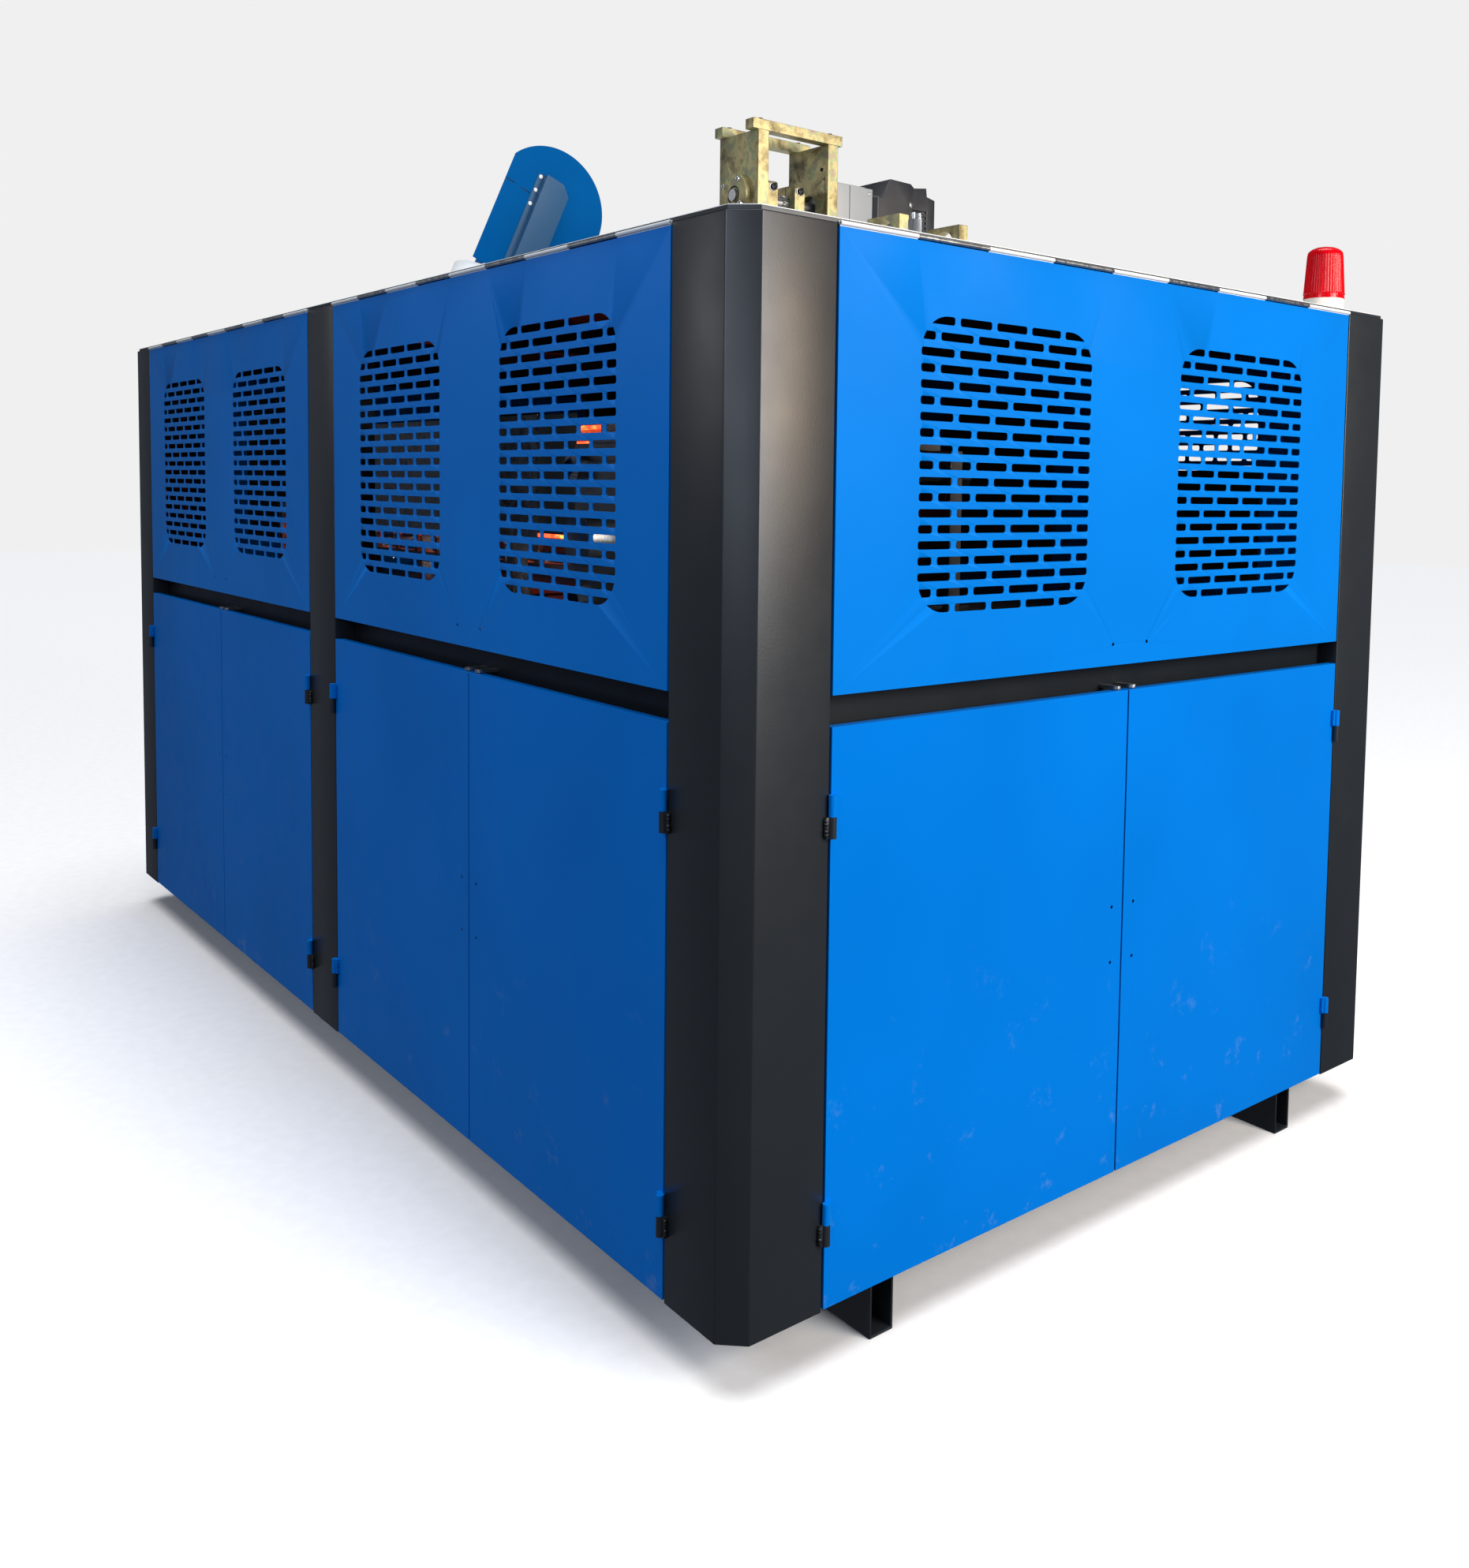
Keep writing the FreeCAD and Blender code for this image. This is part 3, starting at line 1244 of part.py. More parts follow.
# ---------------------------------------------------------------- every node
def all_nodes():
    """Names of the nodes with their solids."""
    nodes = {
        "skid_rails": skid_rails(), "welded_frame": welded_frame(), "posts": posts(),
        "roof_sheets": roof_sheets(), "hinge_pintles": hinge_pintles(), "panel_hinges": panel_hinges(),
        "door_catches": door_catches(), "left_lower_panel": left_lower_panel(),
        "bed_plates": bed_plates(), "clamp_end_plates": clamp_end_plates(), "tie_bars": tie_bars(),
        "clamp_cylinders": clamp_cylinders(), "nozzle_beam": nozzle_beam(),
        "stretch_columns": stretch_columns(), "stretch_top_plate": stretch_top_plate(),
        "platen_front": platen_parts(-1), "mould_front": mould_half(-1),
        "platen_back": platen_parts(1), "mould_back": mould_half(1),
        "stretch_carriage": stretch_carriage(), "stretch_rods": stretch_rods(),
        "drive_shaft": drive_shaft(), "drive_bracket": drive_bracket(),
        "air_port": air_port(), "bearing_flange": bearing_flange(),
        "bearing_blocks": bearing_blocks(), "servo_motor": servo_motor(),
        "motor_cover": motor_cover(), "idler_plates": idler_plates(),
        "fan_housing": fan_housing(), "fan_cover": fan_cover(), "fan_duct": fan_duct(),
        "fan_impeller": fan_impeller(), "fan_motor": fan_motor(),
        "beacon_base": beacon_base(), "beacon_lens": beacon_lens(),
        "beacon_reflector": beacon_reflector(), "oven_boxes": oven_boxes(),
        "heater_lamps": heater_lamps(), "carrier_chain": carrier_chain(),
        "carrier_wheel": carrier_wheel(), "chain_guides": chain_guides(),
        "electrical_cabinet": electrical_cabinet(), "air_tank": air_tank()}
    for side, name, centre, bay in DOOR_BAYS:
        for hand, word in ((-1, "left"), (1, "right")):
            nodes[f"door_{name}_{word}"] = [placed(door(centre, bay, hand), side)]
    long_panel = lift_panel(0.0, bay_long)
    short_panel = lift_panel(0.0, bay_short)
    for side, name, centre, bay in PANELS:
        panel = (long_panel if bay == bay_long else short_panel).copy()
        panel.translate(V(centre, 0, 0))
        nodes[f"lift_panel_{name}"] = [placed(panel, side)]
    return nodes


os.makedirs("parts", exist_ok=True)
for node, solids in all_nodes().items():
    shape = solids[0] if len(solids) == 1 else Part.makeCompound(solids)
    shape.exportStep(f"parts/{node}.step")
    print(node, len(shape.Solids), round(shape.Volume / 1000), "cm3", "valid" if shape.isValid() else "INVALID")
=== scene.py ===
"""Looks of an enclosed stretch blow moulding machine, built round its CAD frame.

Every length is in metres, in the frame of the CAD: +X to the right along the long front, +Y to the
back, +Z up, origin on the floor under the middle of the machine.
"""
from __future__ import annotations

import json
import logging
import math
from dataclasses import dataclass
from enum import Enum
from typing import Callable, Iterable, Iterator, Sequence

import bmesh
import bpy
from mathutils import Matrix, Vector


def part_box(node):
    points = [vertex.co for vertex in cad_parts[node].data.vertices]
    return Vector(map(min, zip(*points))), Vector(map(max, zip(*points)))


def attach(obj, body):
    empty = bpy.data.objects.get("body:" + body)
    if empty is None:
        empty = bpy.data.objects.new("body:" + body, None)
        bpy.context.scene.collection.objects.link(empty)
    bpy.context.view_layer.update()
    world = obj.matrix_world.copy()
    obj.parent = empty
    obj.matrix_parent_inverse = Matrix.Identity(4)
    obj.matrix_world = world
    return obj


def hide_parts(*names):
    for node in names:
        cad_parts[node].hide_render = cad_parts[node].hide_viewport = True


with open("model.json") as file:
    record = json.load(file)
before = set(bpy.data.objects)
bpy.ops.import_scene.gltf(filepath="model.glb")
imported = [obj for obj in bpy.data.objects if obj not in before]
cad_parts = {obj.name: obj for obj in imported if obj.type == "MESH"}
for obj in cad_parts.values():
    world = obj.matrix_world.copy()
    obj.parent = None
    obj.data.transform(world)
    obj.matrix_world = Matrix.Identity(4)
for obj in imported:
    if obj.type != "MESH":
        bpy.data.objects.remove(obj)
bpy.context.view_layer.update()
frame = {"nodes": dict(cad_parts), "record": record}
LOG = logging.getLogger("blow_moulder")
MM = 0.001
Colour = tuple[float, float, float, float]


# ------------------------------------------------------------------ colours and shader nodes
def linear(code: str, alpha: float = 1.0) -> Colour:
    """Turn an sRGB hex colour into a linear one.

    Args:
        code: colour such as "#2c3e50".
        alpha: opacity.

    Returns:
        Linear red, green, blue and alpha.
    """
    def channel(pair: str) -> float:
        """Linear value of one two-digit channel."""
        c = int(pair, 16) / 255
        return c / 12.92 if c <= 0.04045 else ((c + 0.055) / 1.055) ** 2.4

    digits = code.lstrip("#")
    return (channel(digits[0:2]), channel(digits[2:4]), channel(digits[4:6]), alpha)


def shade(code: str, share: float) -> Colour:
    """Linear colour of a hex code, darkened to a share of its strength."""
    return tuple(c * share for c in linear(code)[:3]) + (1.0,)


def add(tree: bpy.types.NodeTree, kind: str, inputs: dict[str | int, object] | None = None,
        **settings: object) -> bpy.types.Node:
    """Add one shader node with its settings and links.

    Args:
        tree: node tree that gets the node.
        kind: Blender's name of the node type.
        inputs: value, or output socket to link, for each input by name or number.
        settings: properties of the node.

    Returns:
        The new node.
    """
    new = tree.nodes.new(kind)
    for key, value in settings.items():
        setattr(new, key, value)
    for key, value in (inputs or {}).items():
        if isinstance(value, bpy.types.NodeSocket):
            tree.links.new(value, new.inputs[key])
        else:
            new.inputs[key].default_value = value
    return new


class Pattern:
    """Node chains that several finishes share, all on Object coordinates."""

    def __init__(self, tree: bpy.types.NodeTree) -> None:
        """Start on a material's tree."""
        self.tree = tree
        self.place = add(tree, "ShaderNodeTexCoord").outputs["Object"]

    def noise(self, size_mm: float, detail: float = 2.0, rough: float = 0.5,
              stretch: tuple[float, float, float] = (1, 1, 1)) -> bpy.types.NodeSocket:
        """Soft noise.

        Args:
            size_mm: distance over which it changes.
            detail: number of finer layers.
            rough: share of the finer layers.
            stretch: factor on the frequency along each axis.

        Returns:
            The noise value, around 0.5.
        """
        scaled = add(self.tree, "ShaderNodeMapping", {"Vector": self.place, "Scale": stretch})
        made = add(self.tree, "ShaderNodeTexNoise",
                   {"Vector": scaled.outputs[0], "Scale": 1000 / size_mm, "Detail": detail,
                    "Roughness": rough})
        return made.outputs["Fac"]

    def ramp(self, value: bpy.types.NodeSocket,
             stops: Sequence[tuple[float, Colour]]) -> bpy.types.NodeSocket:
        """Colour ramp through the stops given as (position, colour)."""
        made = add(self.tree, "ShaderNodeValToRGB", {"Fac": value})
        ends = made.color_ramp.elements
        while len(ends) < len(stops):
            ends.new(0.5)
        for end, (at, colour) in zip(ends, stops):
            end.position = at
            end.color = colour
        return made.outputs["Color"]

    def fade(self, value: bpy.types.NodeSocket, low: float, high: float,
             to_low: float, to_high: float) -> bpy.types.NodeSocket:
        """Map a value from one range to another and keep it inside."""
        made = add(self.tree, "ShaderNodeMapRange",
                   {"Value": value, "From Min": low, "From Max": high, "To Min": to_low,
                    "To Max": to_high})
        return made.outputs["Result"]

    def mix(self, share: object, a: object, b: object) -> bpy.types.NodeSocket:
        """Blend two colours by a share."""
        made = add(self.tree, "ShaderNodeMix", {0: share, 6: a, 7: b}, data_type="RGBA")
        return made.outputs[2]

    def bump(self, height: bpy.types.NodeSocket, depth_mm: float, strength: float,
             under: bpy.types.NodeSocket | None = None) -> bpy.types.NodeSocket:
        """Bumped normal of a given depth, on top of another one."""
        inputs: dict[str | int, object] = {"Height": height, "Distance": depth_mm * MM,
                                           "Strength": strength}
        if under is not None:
            inputs["Normal"] = under
        return add(self.tree, "ShaderNodeBump", inputs).outputs["Normal"]

    def axis(self, letter: str) -> bpy.types.NodeSocket:
        """One Object coordinate, in metres."""
        return add(self.tree, "ShaderNodeSeparateXYZ", {"Vector": self.place}).outputs[letter]


# ------------------------------------------------------------------ finishes
@dataclass(frozen=True)
class Finish:
    """A surface, named for the real one."""

    name: str
    colour: str = "#808080"
    metallic: float = 0.0
    roughness: float = 0.5
    specular: float = 0.5
    slot: str = "grey_enamel"   # the record's material slot

    def gloss(self, pattern: Pattern, value: bpy.types.NodeSocket, least: float, most: float,
              low: float = 0.3, high: float = 0.7) -> bpy.types.NodeSocket:
        """Roughness that follows a pattern, between two shares of the finish's own."""
        return pattern.fade(value, low, high, self.roughness * least, self.roughness * most)

    def surface(self, pattern: Pattern) -> dict[str | int, object]:
        """Inputs of the surface shader; the base class has fine mottling only."""
        grain = pattern.noise(40, 4, 0.6)
        return {"Base Color": pattern.mix(grain, shade(self.colour, 0.88), linear(self.colour)),
                "Roughness": self.gloss(pattern, grain, 0.88, 1.12)}

    def build(self) -> bpy.types.Material:
        """Make the material, or give the one made before."""
        made = bpy.data.materials.get(self.name)
        if made:
            return made
        made = bpy.data.materials.new(self.name)
        made.use_nodes = True
        tree = made.node_tree
        tree.nodes.clear()
        inputs = {"Metallic": self.metallic, "Specular IOR Level": self.specular}
        inputs.update(self.surface(Pattern(tree)))
        shader = add(tree, "ShaderNodeBsdfPrincipled", inputs)
        add(tree, "ShaderNodeOutputMaterial", {"Surface": shader.outputs[0]})
        made.diffuse_color = linear(self.colour)
        return made


@dataclass(frozen=True)
class PowderCoat(Finish):
    """Polyester powder coat: flows into a shallow orange peel, or stays a fine texture."""

    slot: str = "blue_powder_coat"
    peel_mm: float = 3.2        # real peel is 1 to 2 mm wide; drawn coarser so that it shows
    depth_mm: float = 0.05
    strength: float = 0.35
    tint: str = "#ffffff"       # colour of the sheen
    handled: float = 0.0        # how much dust and rubbing shows near the floor
    dusty_z: tuple[float, float] = (0.11, 0.75)  # heights between which the dust fades out
    dust: str = "#8fa3b8"
    pale_from: float | None = None  # height above which the sheet shows its second colour
    above: str = "#dcdfdf"      # dull zinc of a hinge barrel, lightened into a painted highlight along the panels' top edge; light grey of a roof sheet

    def surface(self, pattern: Pattern) -> dict[str | int, object]:
        """Tone that drifts slowly, peel in the bump, dust towards the floor."""
        drift = pattern.fade(pattern.noise(650, 2, 0.5), 0.35, 0.65, 0.0, 1.0)
        colour = pattern.mix(drift, shade(self.colour, 0.9), linear(self.colour))
        rough = self.gloss(pattern, pattern.noise(120, 4, 0.6), 0.92, 1.08)
        if self.handled > 0:
            low = pattern.fade(pattern.axis("Z"), *self.dusty_z, 1.0, 0.0)
            rubbed = pattern.fade(pattern.noise(95, 6, 0.75), 0.60, 0.74, 0.0, self.handled)
            worn = add(pattern.tree, "ShaderNodeMath", {0: low, 1: rubbed}, operation="MULTIPLY")
            colour = pattern.mix(worn.outputs[0], colour, linear(self.dust))
        peel = pattern.bump(pattern.noise(self.peel_mm, 3, 0.6), self.depth_mm, self.strength)
        inputs: dict[str | int, object] = {"Base Color": colour, "Roughness": rough,
                                           "Specular Tint": linear(self.tint), "Normal": peel}
        # above pale_from the sheet turns pale: on the lift panels the barrel's zinc lightened as a
        # painted highlight of the top edge, on the roof sheet its light grey
        if self.pale_from is not None:
            pale_top_band = add(pattern.tree, "ShaderNodeMath",
                       {0: pattern.axis("Z"), 1: self.pale_from}, operation="GREATER_THAN")
            inputs["Base Color"] = pattern.mix(pale_top_band.outputs[0], colour, linear(self.above))
        return inputs


@dataclass(frozen=True)
class PassivatedZinc(Finish):
    """Yellow passivated zinc on steel: gold that drifts to green, pink and dull olive."""

    slot: str = "zinc_yellow"

    def surface(self, pattern: Pattern) -> dict[str | int, object]:
        """Clouds of interference colour over the ground steel's fine lines."""
        cloud = pattern.noise(55, 5, 0.65)
        colour = pattern.ramp(cloud, [(0.28, linear("#5b5840")), (0.42, linear("#8b8260")),
                                      (0.52, linear("#b5a97d")), (0.58, linear("#8f9a76")),
                                      (0.65, linear("#a08a7c")), (0.74, linear("#6f6552"))])
        stain = pattern.fade(pattern.noise(16, 6, 0.7), 0.55, 0.75, 0.0, 0.45)
        lines = pattern.noise(1.6, 2, 0.5, (1, 1, 0.06))
        return {"Base Color": pattern.mix(stain, colour, linear("#5f5a48")),
                "Roughness": pattern.fade(cloud, 0.3, 0.7, 0.34, 0.52),
                "Normal": pattern.bump(lines, 0.03, 0.30)}


@dataclass(frozen=True)
class MachinedMetal(Finish):
    """Ground, turned or milled metal: fine parallel lines and a little handling haze."""

    slot: str = "bright_steel"
    grain: tuple[float, float, float] = (0.05, 1, 1)
    line_mm: float = 1.2        # tool marks are finer; drawn as coarse as they can show

    def surface(self, pattern: Pattern) -> dict[str | int, object]:
        """Lines in the bump and in the roughness."""
        lines = pattern.noise(self.line_mm, 3, 0.6, self.grain)
        haze = pattern.fade(pattern.noise(70, 5, 0.7), 0.35, 0.7, 0.0, 1.0)
        return {"Base Color": pattern.mix(haze, linear(self.colour), shade(self.colour, 0.78)),
                "Roughness": self.gloss(pattern, lines, 0.8, 1.25),
                "Normal": pattern.bump(lines, 0.02, 0.22)}


@dataclass(frozen=True)
class Spangle(Finish):
    """Hot dip galvanised or bright zinc sheet, with faint crystal flowers."""

    slot: str = "zinc_plate"
    flower_mm: float = 14.0

    def surface(self, pattern: Pattern) -> dict[str | int, object]:
        """Cells of slightly different grey and gloss."""
        cells = add(pattern.tree, "ShaderNodeTexVoronoi",
                    {"Vector": pattern.place, "Scale": 1000 / self.flower_mm})
        grey = add(pattern.tree, "ShaderNodeRGBToBW", {"Color": cells.outputs["Color"]}).outputs[0]
        return {"Base Color": pattern.mix(grey, shade(self.colour, 0.8), linear(self.colour)),
                "Roughness": self.gloss(pattern, grey, 0.8, 1.2, 0.2, 0.8)}


@dataclass(frozen=True)
class Moulding(Finish):
    """Injection moulded plastic with a spark eroded grain."""

    slot: str = "black_moulding"
    grain_mm: float = 1.4
    depth_mm: float = 0.04

    def surface(self, pattern: Pattern) -> dict[str | int, object]:
        """Even colour, a fine grain in the bump, gloss that varies where it is handled."""
        tone = linear(self.colour)
        pale = tuple(min(1.0, c * 1.15 + 0.004) for c in tone[:3]) + (1.0,)
        haze = pattern.noise(45, 5, 0.65)
        return {"Base Color": pattern.mix(haze, tone, pale),
                "Roughness": self.gloss(pattern, haze, 0.9, 1.1),
                "Normal": pattern.bump(pattern.noise(self.grain_mm, 2, 0.5), self.depth_mm, 0.3)}


@dataclass(frozen=True)
class ClearMoulding(Finish):
    """Tinted acrylic lens over a bright reflector: the colour sits in the wall."""

    slot: str = "red_lens"

    def surface(self, pattern: Pattern) -> dict[str | int, object]:
        """Deep tint with faint flow marks."""
        return {"Base Color": pattern.mix(pattern.noise(30, 3), shade(self.colour, 0.7),
                                          linear(self.colour)),
                "Roughness": self.roughness, "Transmission Weight": 0.04, "IOR": 1.49,
                "Coat Weight": 0.05, "Coat Roughness": 0.05}


@dataclass(frozen=True)
class GlowingQuartz(Finish):
    """Quartz tube of a lit infrared lamp: orange core, red skin."""

    slot: str = "lamp_quartz"
    power: float = 3.0

    def surface(self, pattern: Pattern) -> dict[str | int, object]:
        """Glow that drifts a little along the tube."""
        drift = pattern.noise(35, 2)
        glow = pattern.ramp(drift, [(0.35, linear("#ff2a22")), (0.55, linear("#ff5a2e")),
                                    (0.68, linear("#ffa24a"))])
        return {"Base Color": linear(self.colour), "Roughness": 0.15,
                "Emission Color": glow, "Emission Strength": self.power}


AZURE_TINT = "#1f8cf0"
BLUE = PowderCoat("azure polyester powder coat", "#0071ce", roughness=0.44, specular=0.20,
                  tint=AZURE_TINT, handled=0.30, peel_mm=4.0, strength=0.5)
# the band above 2.1045 m is the zinc barrel hinge, drawn pale as a painted highlight along the
# panels' top edge
BLUE_LIFT = PowderCoat("azure powder coat with zinc barrel hinge", "#0074d0", roughness=0.42,
                       specular=0.22, tint="#59aaf2", pale_from=2.1045, peel_mm=4.5, depth_mm=0.09,
                       strength=0.6)
# same azure paint as the panels, darkened to the fan's dark look: painted shade
BLUE_FAN_SHADED = PowderCoat("azure powder coat on rolled sheet darkened as painted shade", "#004e8a", roughness=0.45, specular=0.3,
                      tint=AZURE_TINT)
CHARCOAL = PowderCoat("charcoal hammered powder coat", "#1e2226", roughness=0.36, specular=0.5,
                      peel_mm=5.0, depth_mm=0.16, strength=0.7, slot="charcoal_powder_coat")
FRAME_COAT = PowderCoat("charcoal enamel on tube", "#11161a", roughness=0.45, specular=0.22,
                        slot="frame_enamel")
WELD_BLACK = PowderCoat("painted weld bead", "#131517", roughness=0.30, specular=0.6, peel_mm=6.0,
                        depth_mm=0.5, strength=0.6, slot="charcoal_powder_coat")
WELD_BLUE = PowderCoat("azure painted weld bead", "#0068bd", roughness=0.34, specular=0.5,
                       tint=AZURE_TINT, peel_mm=6.0, depth_mm=0.4, strength=0.6)
ROOF_COAT = PowderCoat("charcoal fold under light grey powder coat", "#24292d", roughness=0.45,
                       peel_mm=2.6, pale_from=2.1186, slot="grey_enamel")
DUCT_COAT = PowderCoat("pale dull zinc on rolled sheet", "#eef0ef", roughness=0.5, peel_mm=2.6,
                       slot="zinc_plate")
# darker and greyer than the main azure coat, as dark as the fan housing
BLUE_COVER = PowderCoat("dark greyish azure powder coat", "#2a5478", roughness=0.5, specular=0.3)
GREY_COAT = PowderCoat("mid grey machine enamel", "#9aa0a1", roughness=0.42, peel_mm=2.6,
                       slot="grey_enamel")
TANK_COAT = PowderCoat("dark green-grey tank enamel", "#59635f", roughness=0.40, peel_mm=3.0,
                       slot="grey_enamel")
SERVO_COAT = PowderCoat("silver grey cast-housing paint", "#8d9092", roughness=0.40, peel_mm=2.2,
                        slot="motor_silver")
ZINC_YELLOW = PassivatedZinc("yellow passivated zinc", metallic=0.88)
GROUND_STEEL = MachinedMetal("ground steel", "#a5a7a9", 1.0, 0.34)
DARK_STEEL = MachinedMetal("blackened screw steel", "#2b2c2e", 0.9, 0.38)
HARD_CHROME = MachinedMetal("hard chrome on round bar", "#c9cccf", 1.0, 0.12, line_mm=2.0,
                            slot="reflector_chrome")
MOULD_METAL = MachinedMetal("milled aluminium", "#c4c7c9", 1.0, 0.30, grain=(1, 1, 0.05),
                            slot="mould_aluminium")
BRASS = MachinedMetal("turned brass", "#b08d4a", 1.0, 0.30)
ZINC_PLATE = Spangle("bright zinc sheet", "#b4b8bb", 0.95, 0.33)
BLACK_ABS = Moulding("black grained ABS", "#1b1d21", roughness=0.42)
CREAM_ABS = Moulding("cream moulded ABS", "#d8d3c8", roughness=0.38, slot="cream_moulding")
SEAL_RUBBER = Moulding("black nitrile rubber", "#101011", roughness=0.6)
CERAMIC = Moulding("white steatite ceramic", "#dcd8cf", roughness=0.5, slot="cream_moulding")
DIAL_WHITE = Moulding("white gauge face", "#e4e4e0", roughness=0.3, slot="cream_moulding")
RED_LENS = ClearMoulding("red ribbed acrylic", "#d80010", roughness=0.2, specular=0.2)
LAMP_GLOW = GlowingQuartz("lit quartz lamp", "#ff7a4a")
TAG_BLUE = Moulding("blue moulded tag", "#1f6fae", roughness=0.45, slot="blue_powder_coat")


# ------------------------------------------------------------------ modelling bench
class Axis(Enum):
    """Direction of a round piece's axis."""

    X = (0.0, math.pi / 2, 0.0)
    Y = (-math.pi / 2, 0.0, 0.0)
    Z = (0.0, 0.0, 0.0)


class Bench:
    """Operators on one object at a time, with everything else deselected."""

    @staticmethod
    def only(obj: bpy.types.Object) -> bpy.types.Object:
        """Deselect all and make the object active."""
        if bpy.context.mode != "OBJECT":
            bpy.ops.object.mode_set(mode="OBJECT")
        bpy.ops.object.select_all(action="DESELECT")
        obj.select_set(True)
        bpy.context.view_layer.objects.active = obj
        return obj

    @staticmethod
    def named(name: str) -> bpy.types.Object:
        """Name the active object and put its place in its mesh."""
        obj = bpy.context.active_object
        obj.name = name
        obj.data.name = name
        bpy.ops.object.transform_apply(location=True, rotation=True, scale=True)
        return obj

    @staticmethod
    def clear() -> None:
        """Deselect all before a primitive is added."""
        if bpy.context.mode != "OBJECT":
            bpy.ops.object.mode_set(mode="OBJECT")
        bpy.ops.object.select_all(action="DESELECT")

    @classmethod
    def cylinder(cls, name: str, r: float, length: float, centre: Sequence[float],
                 axis: Axis = Axis.Z, sides: int = 48, r_top: float | None = None
                 ) -> bpy.types.Object:
        """Add a cylinder, or a cone when r_top is given.

        Args:
            name: name of the piece.
            r: radius at the foot.
            length: length along the axis.
            centre: its middle.
            axis: direction of the axis.
            sides: number of flats round it.
            r_top: radius at the top.

        Returns:
            The new object.
        """
        cls.clear()
        bpy.ops.mesh.primitive_cone_add(vertices=sides, radius1=r,
                                        radius2=r if r_top is None else r_top, depth=length,
                                        location=centre, rotation=axis.value)
        return cls.named(name)

    @classmethod
    def block(cls, name: str, size: Sequence[float], centre: Sequence[float]) -> bpy.types.Object:
        """Add a box of a given size."""
        cls.clear()
        bpy.ops.mesh.primitive_cube_add(size=1, location=centre)
        bpy.context.active_object.scale = size
        return cls.named(name)

    @classmethod
    def ring(cls, name: str, r: float, thick: float, centre: Sequence[float],
             axis: Axis = Axis.Z, sides: int = 48, fine: int = 10,
             wall: float = 0.0002) -> bpy.types.Object:
        """Add a round bead with a skin of its own.

        Args:
            name: name of the piece.
            r: radius of the bead's middle line.
            thick: radius of the bead.
            centre: its middle.
            axis: direction of the axis.
            sides: steps round the ring.
            fine: steps round the bead.
            wall: thickness of the skin.

        Returns:
            The new object.
        """
        cls.clear()
        bpy.ops.mesh.primitive_torus_add(major_radius=r, minor_radius=thick, location=centre,
                                         rotation=axis.value, major_segments=sides,
                                         minor_segments=fine)
        return cls.modify(cls.named(name), "SOLIDIFY", thickness=wall)

    @classmethod
    def pick(cls, obj: bpy.types.Object, test: Callable[[bmesh.types.BMFace], bool]) -> None:
        """Enter edit mode with just the faces selected that pass the test."""
        cls.only(obj)
        bpy.ops.object.mode_set(mode="EDIT")
        bpy.ops.mesh.select_mode(type="FACE")
        bpy.ops.mesh.select_all(action="DESELECT")
        mesh = bmesh.from_edit_mesh(obj.data)
        for face in mesh.faces:
            if test(face):
                face.select_set(True)
        bmesh.update_edit_mesh(obj.data)

    @staticmethod
    def done() -> None:
        """Leave edit mode."""
        bpy.ops.object.mode_set(mode="OBJECT")

    @classmethod
    def step(cls, obj: bpy.types.Object, *steps: tuple[float, float],
             towards: Sequence[float] = (0, 0, 1), both: bool = False) -> None:
        """Step the faces that look one way in and out.

        Args:
            obj: object to edit.
            steps: width of each step and how far it rises.
            towards: where the faces look.
            both: whether the faces that look the other way are stepped too.
        """
        look = Vector(towards)
        cls.pick(obj, lambda f: (abs(f.normal.dot(look)) if both else f.normal.dot(look)) > 0.9)
        for width, rise in steps:
            bpy.ops.mesh.inset(thickness=width, depth=rise)
        cls.done()

    @classmethod
    def modify(cls, obj: bpy.types.Object, kind: str, **settings: object) -> bpy.types.Object:
        """Add a modifier with its settings and apply it."""
        cls.only(obj)
        made = obj.modifiers.new(kind.title(), kind)
        for key, value in settings.items():
            setattr(made, key, value)
        bpy.ops.object.modifier_apply(modifier=made.name)
        return obj

    @classmethod
    def soften(cls, obj: bpy.types.Object, width: float, segments: int = 2,
               above_deg: float = 32.0) -> bpy.types.Object:
        """Round every sharp edge a little."""
        return cls.modify(obj, "BEVEL", width=width, segments=segments, limit_method="ANGLE",
                          angle_limit=math.radians(above_deg), use_clamp_overlap=True)

    @classmethod
    def copy(cls, obj: bpy.types.Object, name: str, place: Matrix) -> bpy.types.Object:
        """Copy an object with its own mesh, moved by a matrix."""
        new = obj.copy()
        new.data = obj.data.copy()
        new.name = name
        new.data.name = name
        new.data.transform(place)
        if place.determinant() < 0:
            new.data.flip_normals()
        bpy.context.collection.objects.link(new)
        return new

    @classmethod
    def join(cls, name: str, parts: Iterable[bpy.types.Object]) -> bpy.types.Object:
        """Join several objects into one piece."""
        parts = list(parts)
        cls.only(parts[0])
        for part in parts:
            part.select_set(True)
        if len(parts) > 1:
            bpy.ops.object.join()
        obj = bpy.context.active_object
        obj.name = name
        obj.data.name = name
        return obj

    @classmethod
    def drop(cls, obj: bpy.types.Object) -> None:
        """Remove a helper object."""
        bpy.data.objects.remove(obj, do_unlink=True)


def dress(obj: bpy.types.Object, finish: Finish, body: str = "machine", slot: str = "",
          smooth_deg: float = 35.0) -> bpy.types.Object:
    """Give a new piece its finish and its body.

    Args:
        obj: finished mesh.
        finish: its surface.
        body: CAD body that it moves with.
        slot: the record's material slot, where it isn't the finish's own; not used.
        smooth_deg: edges sharper than this stay sharp.

    Returns:
        The same object.
    """
    obj.data.materials.clear()
    obj.data.materials.append(finish.build())
    Bench.only(obj)
    bpy.ops.object.shade_smooth_by_angle(angle=math.radians(smooth_deg))
    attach(obj, body)
    LOG.info("piece %s on %s: %d faces", obj.name, body, len(obj.data.polygons))
    return obj


# ------------------------------------------------------------------ CAD nodes
@dataclass(frozen=True)
class Coat:
    """What a CAD node is finished with, and how far its edges are rounded."""

    finish: Finish
    edge_mm: float = 0.0
    segments: int = 2
    slot: str = ""              # the finish's own when empty
    smooth_deg: float = 35.0


